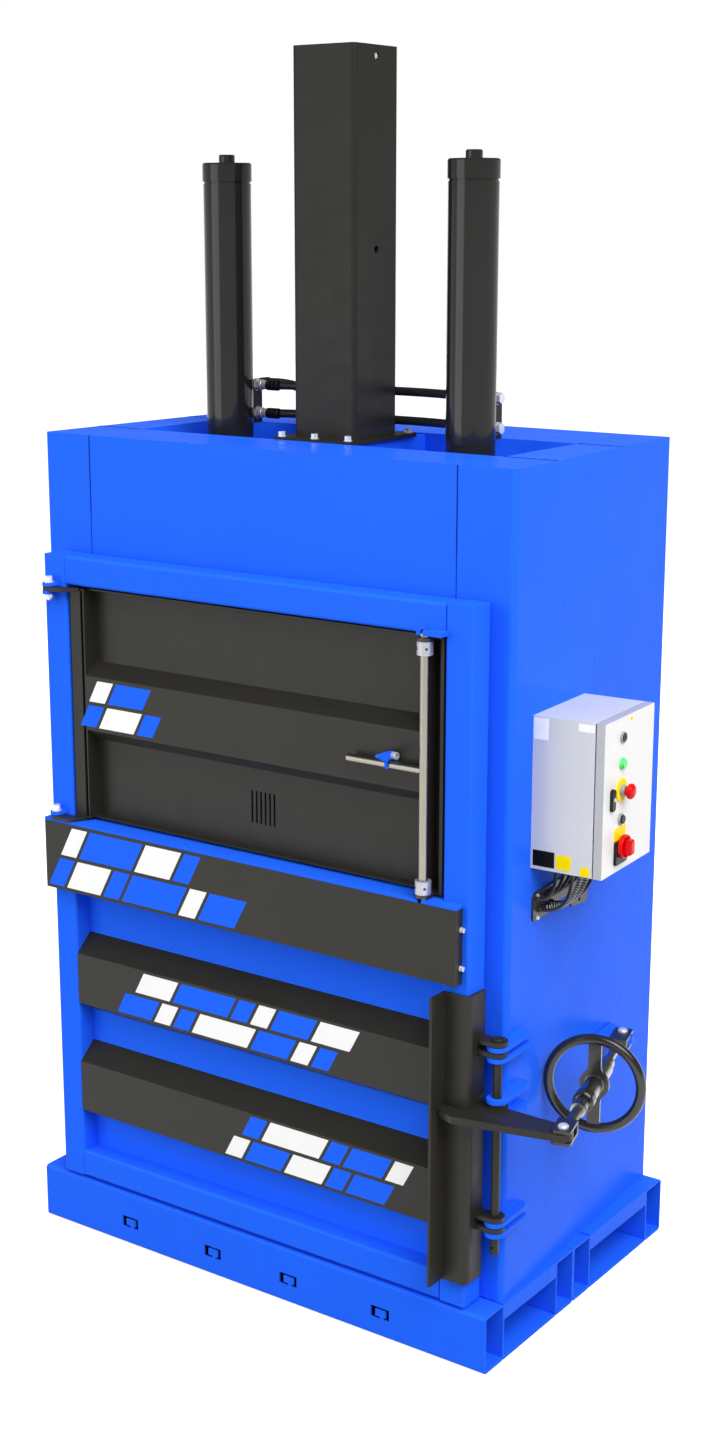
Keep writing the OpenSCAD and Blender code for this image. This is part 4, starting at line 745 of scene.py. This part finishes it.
class BALER_OT_welds(bpy.types.Operator):
    """Make the weld beads on the body, the door and the arm, and the dark seams between plates"""
    bl_idname = "baler.welds"
    bl_label = "Welds and seams"

    def execute(self, context):
        low, high = corner("anchor_plate", 0), corner("anchor_plate", 1)
        wall = Shape()
        bead(wall, on_wall(low[1], low[2]), on_wall(high[1], low[2]))
        for z in LUGS:
            bead(wall, *[on_wall(y, z) for y in LUG_Y])
        post = corner("hinge_posts", 0)[0]
        for z in POSTS:
            bead(wall, (post, BODY_FRONT, z), (post, BODY_FRONT, z + 0.042))
        wall.piece("wall_welds", FINISH["blue"], "machine", "blue_paint")
        rear, seams = Shape(), Shape()
        back, beam = corner("rear_wall", 1), corner("rear_top_beam", 1)
        foot = corner("rear_wall", 0)[2]
        # Edges of the rear wall: start, end and number of beads.
        edges = [((-back[0], back[1], back[2]), (back[0], back[1], back[2]), 6)]
        edges += [((x, back[1], beam[2] - 0.004), (x, back[1], foot + 0.004), 10)
                  for x in (-back[0], back[0])]
        for a, b, count in edges:
            a, b = np.array(a), np.array(b)
            swept(seams, [a, b], BACK_SEAM, 8)
            half = 0.035 * unit(b - a)
            for k in range(count):
                middle = a + (b - a) * (k + 0.5) / count
                bead(rear, middle - half, middle + half)
        rear.piece("rear_welds", FINISH["blue"], "machine", "blue_paint")
        hood = corner("header", 0), corner("header", 1)
        for side in (-1, 1):
            mirror = np.array([side, 1, 1])
            edge = np.array([hood[1][0], hood[0][1], hood[1][2]])
            swept(seams, [edge * mirror, (edge * [1, 1, 0] + hood[0] * Z) * mirror], SEAM, 8)
            for y in (hood[1][1], corner("rear_top_beam", 0)[1]):
                inner, outer = np.array([hood[1][0], y, hood[1][2]]), on_wall(y, hood[1][2])
                swept(seams, [inner * mirror, outer * mirror], SEAM, 8)
        seams.piece("body_seams", FINISH["seam"], "machine", "blue_paint")
        seam = Shape()
        swept(seam, [on_wall(low[1] + 0.002, high[2]), on_wall(high[1] - 0.002, high[2])], SEAM, 8)
        seam.piece("anchor_seam", FINISH["switch"], "machine", "blue_paint")
        door = Shape()
        ear = corner("gate_ears", 0)[0]
        for z in EARS:
            bead(door, (ear + 0.002, DOOR_FRONT, z), (ear + 0.034, DOOR_FRONT, z), 0.002)
        bead(door, *[(x, DOOR_FRONT, BRACKET_UP) for x in BRACKET_X], 0.0025)
        door.piece("door_welds", FINISH["blue"], "main_door", "blue_paint")
        arm = Shape()
        for z in JAW_LUGS:
            bead(arm, *[(JAW_X, y, z) for y in JAW_Y], 0.0022)
        arm.piece("arm_welds", FINISH["black"], "clamp_jaw", "black_paint")
        return {"FINISHED"}


class BALER_OT_hardware(bpy.types.Operator):
    """Make the barrel sleeve, sight plug, black strap tunnels that paint the shade inside the strap slots,
    the ring on the clamp's pin and set screws
    """
    bl_idname = "baler.hardware"
    bl_label = "Small hardware"

    def execute(self, context):
        barrel = Shape()
        ring(barrel, [(0.0182, -0.0625), (0.0250, -0.0556), (0.0250, -0.108), (0.0238, -0.110),
                      (0.0205, -0.110), (0.0205, -0.148), (0.0192, -0.150), (0.0128, -0.150),
                      (0.0128, -0.098), (0.0182, -0.098)],
             (SCREW_FROM + SCREW_TO) / 2, unit(SCREW_TO - SCREW_FROM), 56)
        barrel.piece("barrel_sleeve", FINISH["steel"], "handwheel", "dark_steel")
        cap = Shape()
        turned(cap, [(0.0085, -0.004), (0.0085, 0.0), (0.0070, 0.0012), (0.0, 0.0012)],
               (0.0965, -0.027, corner("guide_tube", 1)[2] - 0.028), X, 28)
        cap.piece("sight_plug", FINISH["zinc"], "machine", "zinc_plate")
        # Jet black tunnels behind the strap slots: their black is painted shade inside the base beam.
        tunnel = Shape()
        inner, outer = rounded(0.064, 0.038, 0.002), rounded(0.068, 0.042, 0.004)
        walls = [(outer, 0.072), (outer, 0.0), (inner, 0.0), (inner, 0.070)]
        for x in STRAPS:
            mouth = np.array([x, corner("front_beam", 0)[1] + BEAM_WALL, STRAP_UP])
            index = tunnel.grid(np.stack([mouth + o[:, :1] * X + o[:, 1:] * Z + d * Y for o, d in walls]),
                                wrap_v=True)
            tunnel.cap(index[0], flip=True)
            tunnel.cap(index[-1])
        tunnel.piece("strap_tunnels", FINISH["jet"], "machine", "black_paint")
        pin = Shape()
        ring(pin, [(0.0121, -0.004), (0.0172, -0.004), (0.0172, -0.0005), (0.0160, 0.0012),
                   (0.0140, 0.0012), (0.0121, -0.0004)], (*PIN, corner("jaw_pin", 1)[2]), Z, 48)
        pin.piece("pin_ring", FINISH["black"], "machine", "black_paint")
        dots = Shape()
        for z in COLLARS:
            for turn in (-2.25, -0.8):
                away = np.array([math.cos(turn), math.sin(turn), 0.0])
                turned(dots, [(0.0034, -0.002), (0.0034, 0.00035), (0.0028, 0.0006), (0.0, 0.0006)],
                       ROD + (z + COLLAR / 2) * Z + 0.0209 * away, away, 20)
        dots.piece("set_screws", FINISH["switch"], "lock_rod", "bright_steel")
        return {"FINISHED"}


class BALER_OT_livery(bpy.types.Operator):
    """Lay slanted film bars on the mid band, the ribs and the gate"""
    bl_idname = "baler.livery"
    bl_label = "Livery"

    def execute(self, context):
        p = context.scene.baler_livery
        films = {"blue": paint("blue_film", tuple(p.bar_blue), 0.34, specular=0.03, blotch=0.02),
                 "white": paint("white_film", tuple(p.bar_white), 0.36, specular=0.1, blotch=0.01)}
        for body, rows in BARS.items():
            for key, film in films.items():
                shape = Shape()
                for carrier, x, low, high, word in rows:
                    lean = math.tan(p.lean) * (high - low)
                    for colour, units in ((item[0], int(item[1])) for item in word.split()):
                        width = BAR_UNIT * units + p.gap * (units - 1)
                        if colour == key[0]:
                            outline = [(x, low), (x + width, low), (x + width + lean, high), (x + lean, high)]
                            plate(shape, outline, (0, corner(carrier, 0)[1] - 0.00005, 0), X, Z, p.film)
                        x += width + p.gap
                shape.piece(f"{body}_{key}_bars", film, body, "black_paint")
        return {"FINISHED"}


def soft_box(name, place, aim, watts):
    """A square lamp turned from its place to face a point."""
    lamp = bpy.data.lights.new(name, "AREA")
    lamp.size = SOFT_BOX_SIZE
    lamp.energy = watts
    made = bpy.data.objects.new(name, lamp)
    made.location = place
    x, y, z = np.subtract(aim, place)
    made.rotation_euler = (math.atan2(math.hypot(x, y), -z), 0, math.atan2(-x, y))
    return made


def studio(fill, ceiling):
    """A white room: white where it is seen, fill as light, and in reflections white low down and as
    bright as ceiling above."""
    world = bpy.data.worlds.new("studio")
    world.use_nodes = True
    tree = world.node_tree
    path = node(tree, "ShaderNodeLightPath").outputs
    seen = node(tree, "ShaderNodeMath")
    seen.operation = "MAXIMUM"
    feed(tree, seen.inputs[0], path["Is Camera Ray"])
    feed(tree, seen.inputs[1], path["Is Transmission Ray"])
    toward = node(tree, "ShaderNodeTexCoord").outputs["Generated"]
    height = node(tree, "ShaderNodeSeparateXYZ", Vector=toward).outputs["Z"]
    shade = spread(tree, height, 1.0, ceiling, 0.0, 0.08)
    light = spread(tree, path["Is Glossy Ray"], fill, shade)
    ground = tree.nodes["Background"].inputs
    ground["Color"].default_value = (1, 1, 1, 1)
    feed(tree, ground["Strength"], spread(tree, seen.outputs[0], light, 1.0))
    return world


def pale_floor():
    """A wide flat grid under the object, lifted where it is seen and darker to the light it throws back."""
    reach = np.linspace(-30, 30, 7)
    u, v = np.meshgrid(reach, reach, indexing="ij")
    shape = Shape()
    shape.grid(np.stack([u, v, np.full_like(u, -0.0005)], -1))
    f = Finish("pale_floor", (0.92, 0.92, 0.92), 0.7, specular=0.2)
    path = node(f.tree, "ShaderNodeLightPath").outputs
    pale = f.mixed(path["Is Diffuse Ray"], f.blotch(0.8, 0.01), (0.25, 0.25, 0.25))
    f.done(pale, f.noise(5.0), 0.05, f.noise(60.0), 0.05, 0.001)
    seen = f.either(path["Is Camera Ray"], path["Is Glossy Ray"], path["Is Transmission Ray"])
    feed(f.tree, f.shader.inputs["Emission Strength"], spread(f.tree, seen, 0.0, 0.55))
    f.shader.inputs["Emission Color"].default_value = (1, 1, 1, 1)
    return bpy.data.objects.new("floor", shape.mesh("floor", f.material))


class BALER_OT_stage(bpy.types.Operator):
    """Set up the camera, the soft light and the pale floor"""
    bl_idname = "baler.stage"
    bl_label = "Stage"

    def execute(self, context):
        p = context.scene.baler_stage
        scene = context.scene
        scene.view_settings.view_transform = "Standard"
        camera = bpy.data.objects.new("camera", bpy.data.cameras.new("camera"))
        camera.data.sensor_width = 36.0
        camera.data.lens = p.lens
        camera.data.clip_end = 200
        camera.location = EYE
        camera.rotation_euler = (math.radians(90 - TILT), 0, math.radians(TURN))
        scene.collection.objects.link(camera)
        scene.camera = camera
        for name, (place, aim, watts) in SOFT_BOXES.items():
            made = soft_box(name, place, aim, watts * p.key)
            made.visible_glossy = name != "soft_box_back"
            scene.collection.objects.link(made)
        scene.world = studio(p.fill, p.ceiling)
        floor = pale_floor()
        scene.collection.objects.link(floor)
        return {"FINISHED"}


class BALER_PT_panel(bpy.types.Panel):
    """Lists the settings and the steps"""
    bl_label = "Recycling Baler"
    bl_idname = "BALER_PT_panel"
    bl_space_type = "VIEW_3D"
    bl_region_type = "UI"
    bl_category = "Baler"

    def draw(self, context):
        for group in ("baler_finishes", "baler_livery", "baler_stage"):
            settings = getattr(context.scene, group)
            box = self.layout.box()
            for key in own_keys(settings):
                box.prop(settings, key)
        for step in STEPS:
            self.layout.operator(step.bl_idname)


STEPS = (BALER_OT_stage, BALER_OT_finishes, BALER_OT_livery, BALER_OT_controls, BALER_OT_hoses,
         BALER_OT_cables, BALER_OT_welds, BALER_OT_hardware)
GROUPS = {"baler_finishes": BALER_PG_finishes, "baler_livery": BALER_PG_livery, "baler_stage": BALER_PG_stage}


def register():
    for made in (*GROUPS.values(), *STEPS, BALER_PT_panel):
        bpy.utils.register_class(made)
    for name, group in GROUPS.items():
        setattr(bpy.types.Scene, name, bpy.props.PointerProperty(type=group))


def unregister():
    for name in GROUPS:
        delattr(bpy.types.Scene, name)
    for made in (BALER_PT_panel, *reversed(STEPS), *reversed(list(GROUPS.values()))):
        bpy.utils.unregister_class(made)


def main():
    """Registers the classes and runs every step."""
    register()
    for step in STEPS:
        family, name = step.bl_idname.split(".")
        getattr(getattr(bpy.ops, family), name)()


if __name__ == "__main__":
    main()
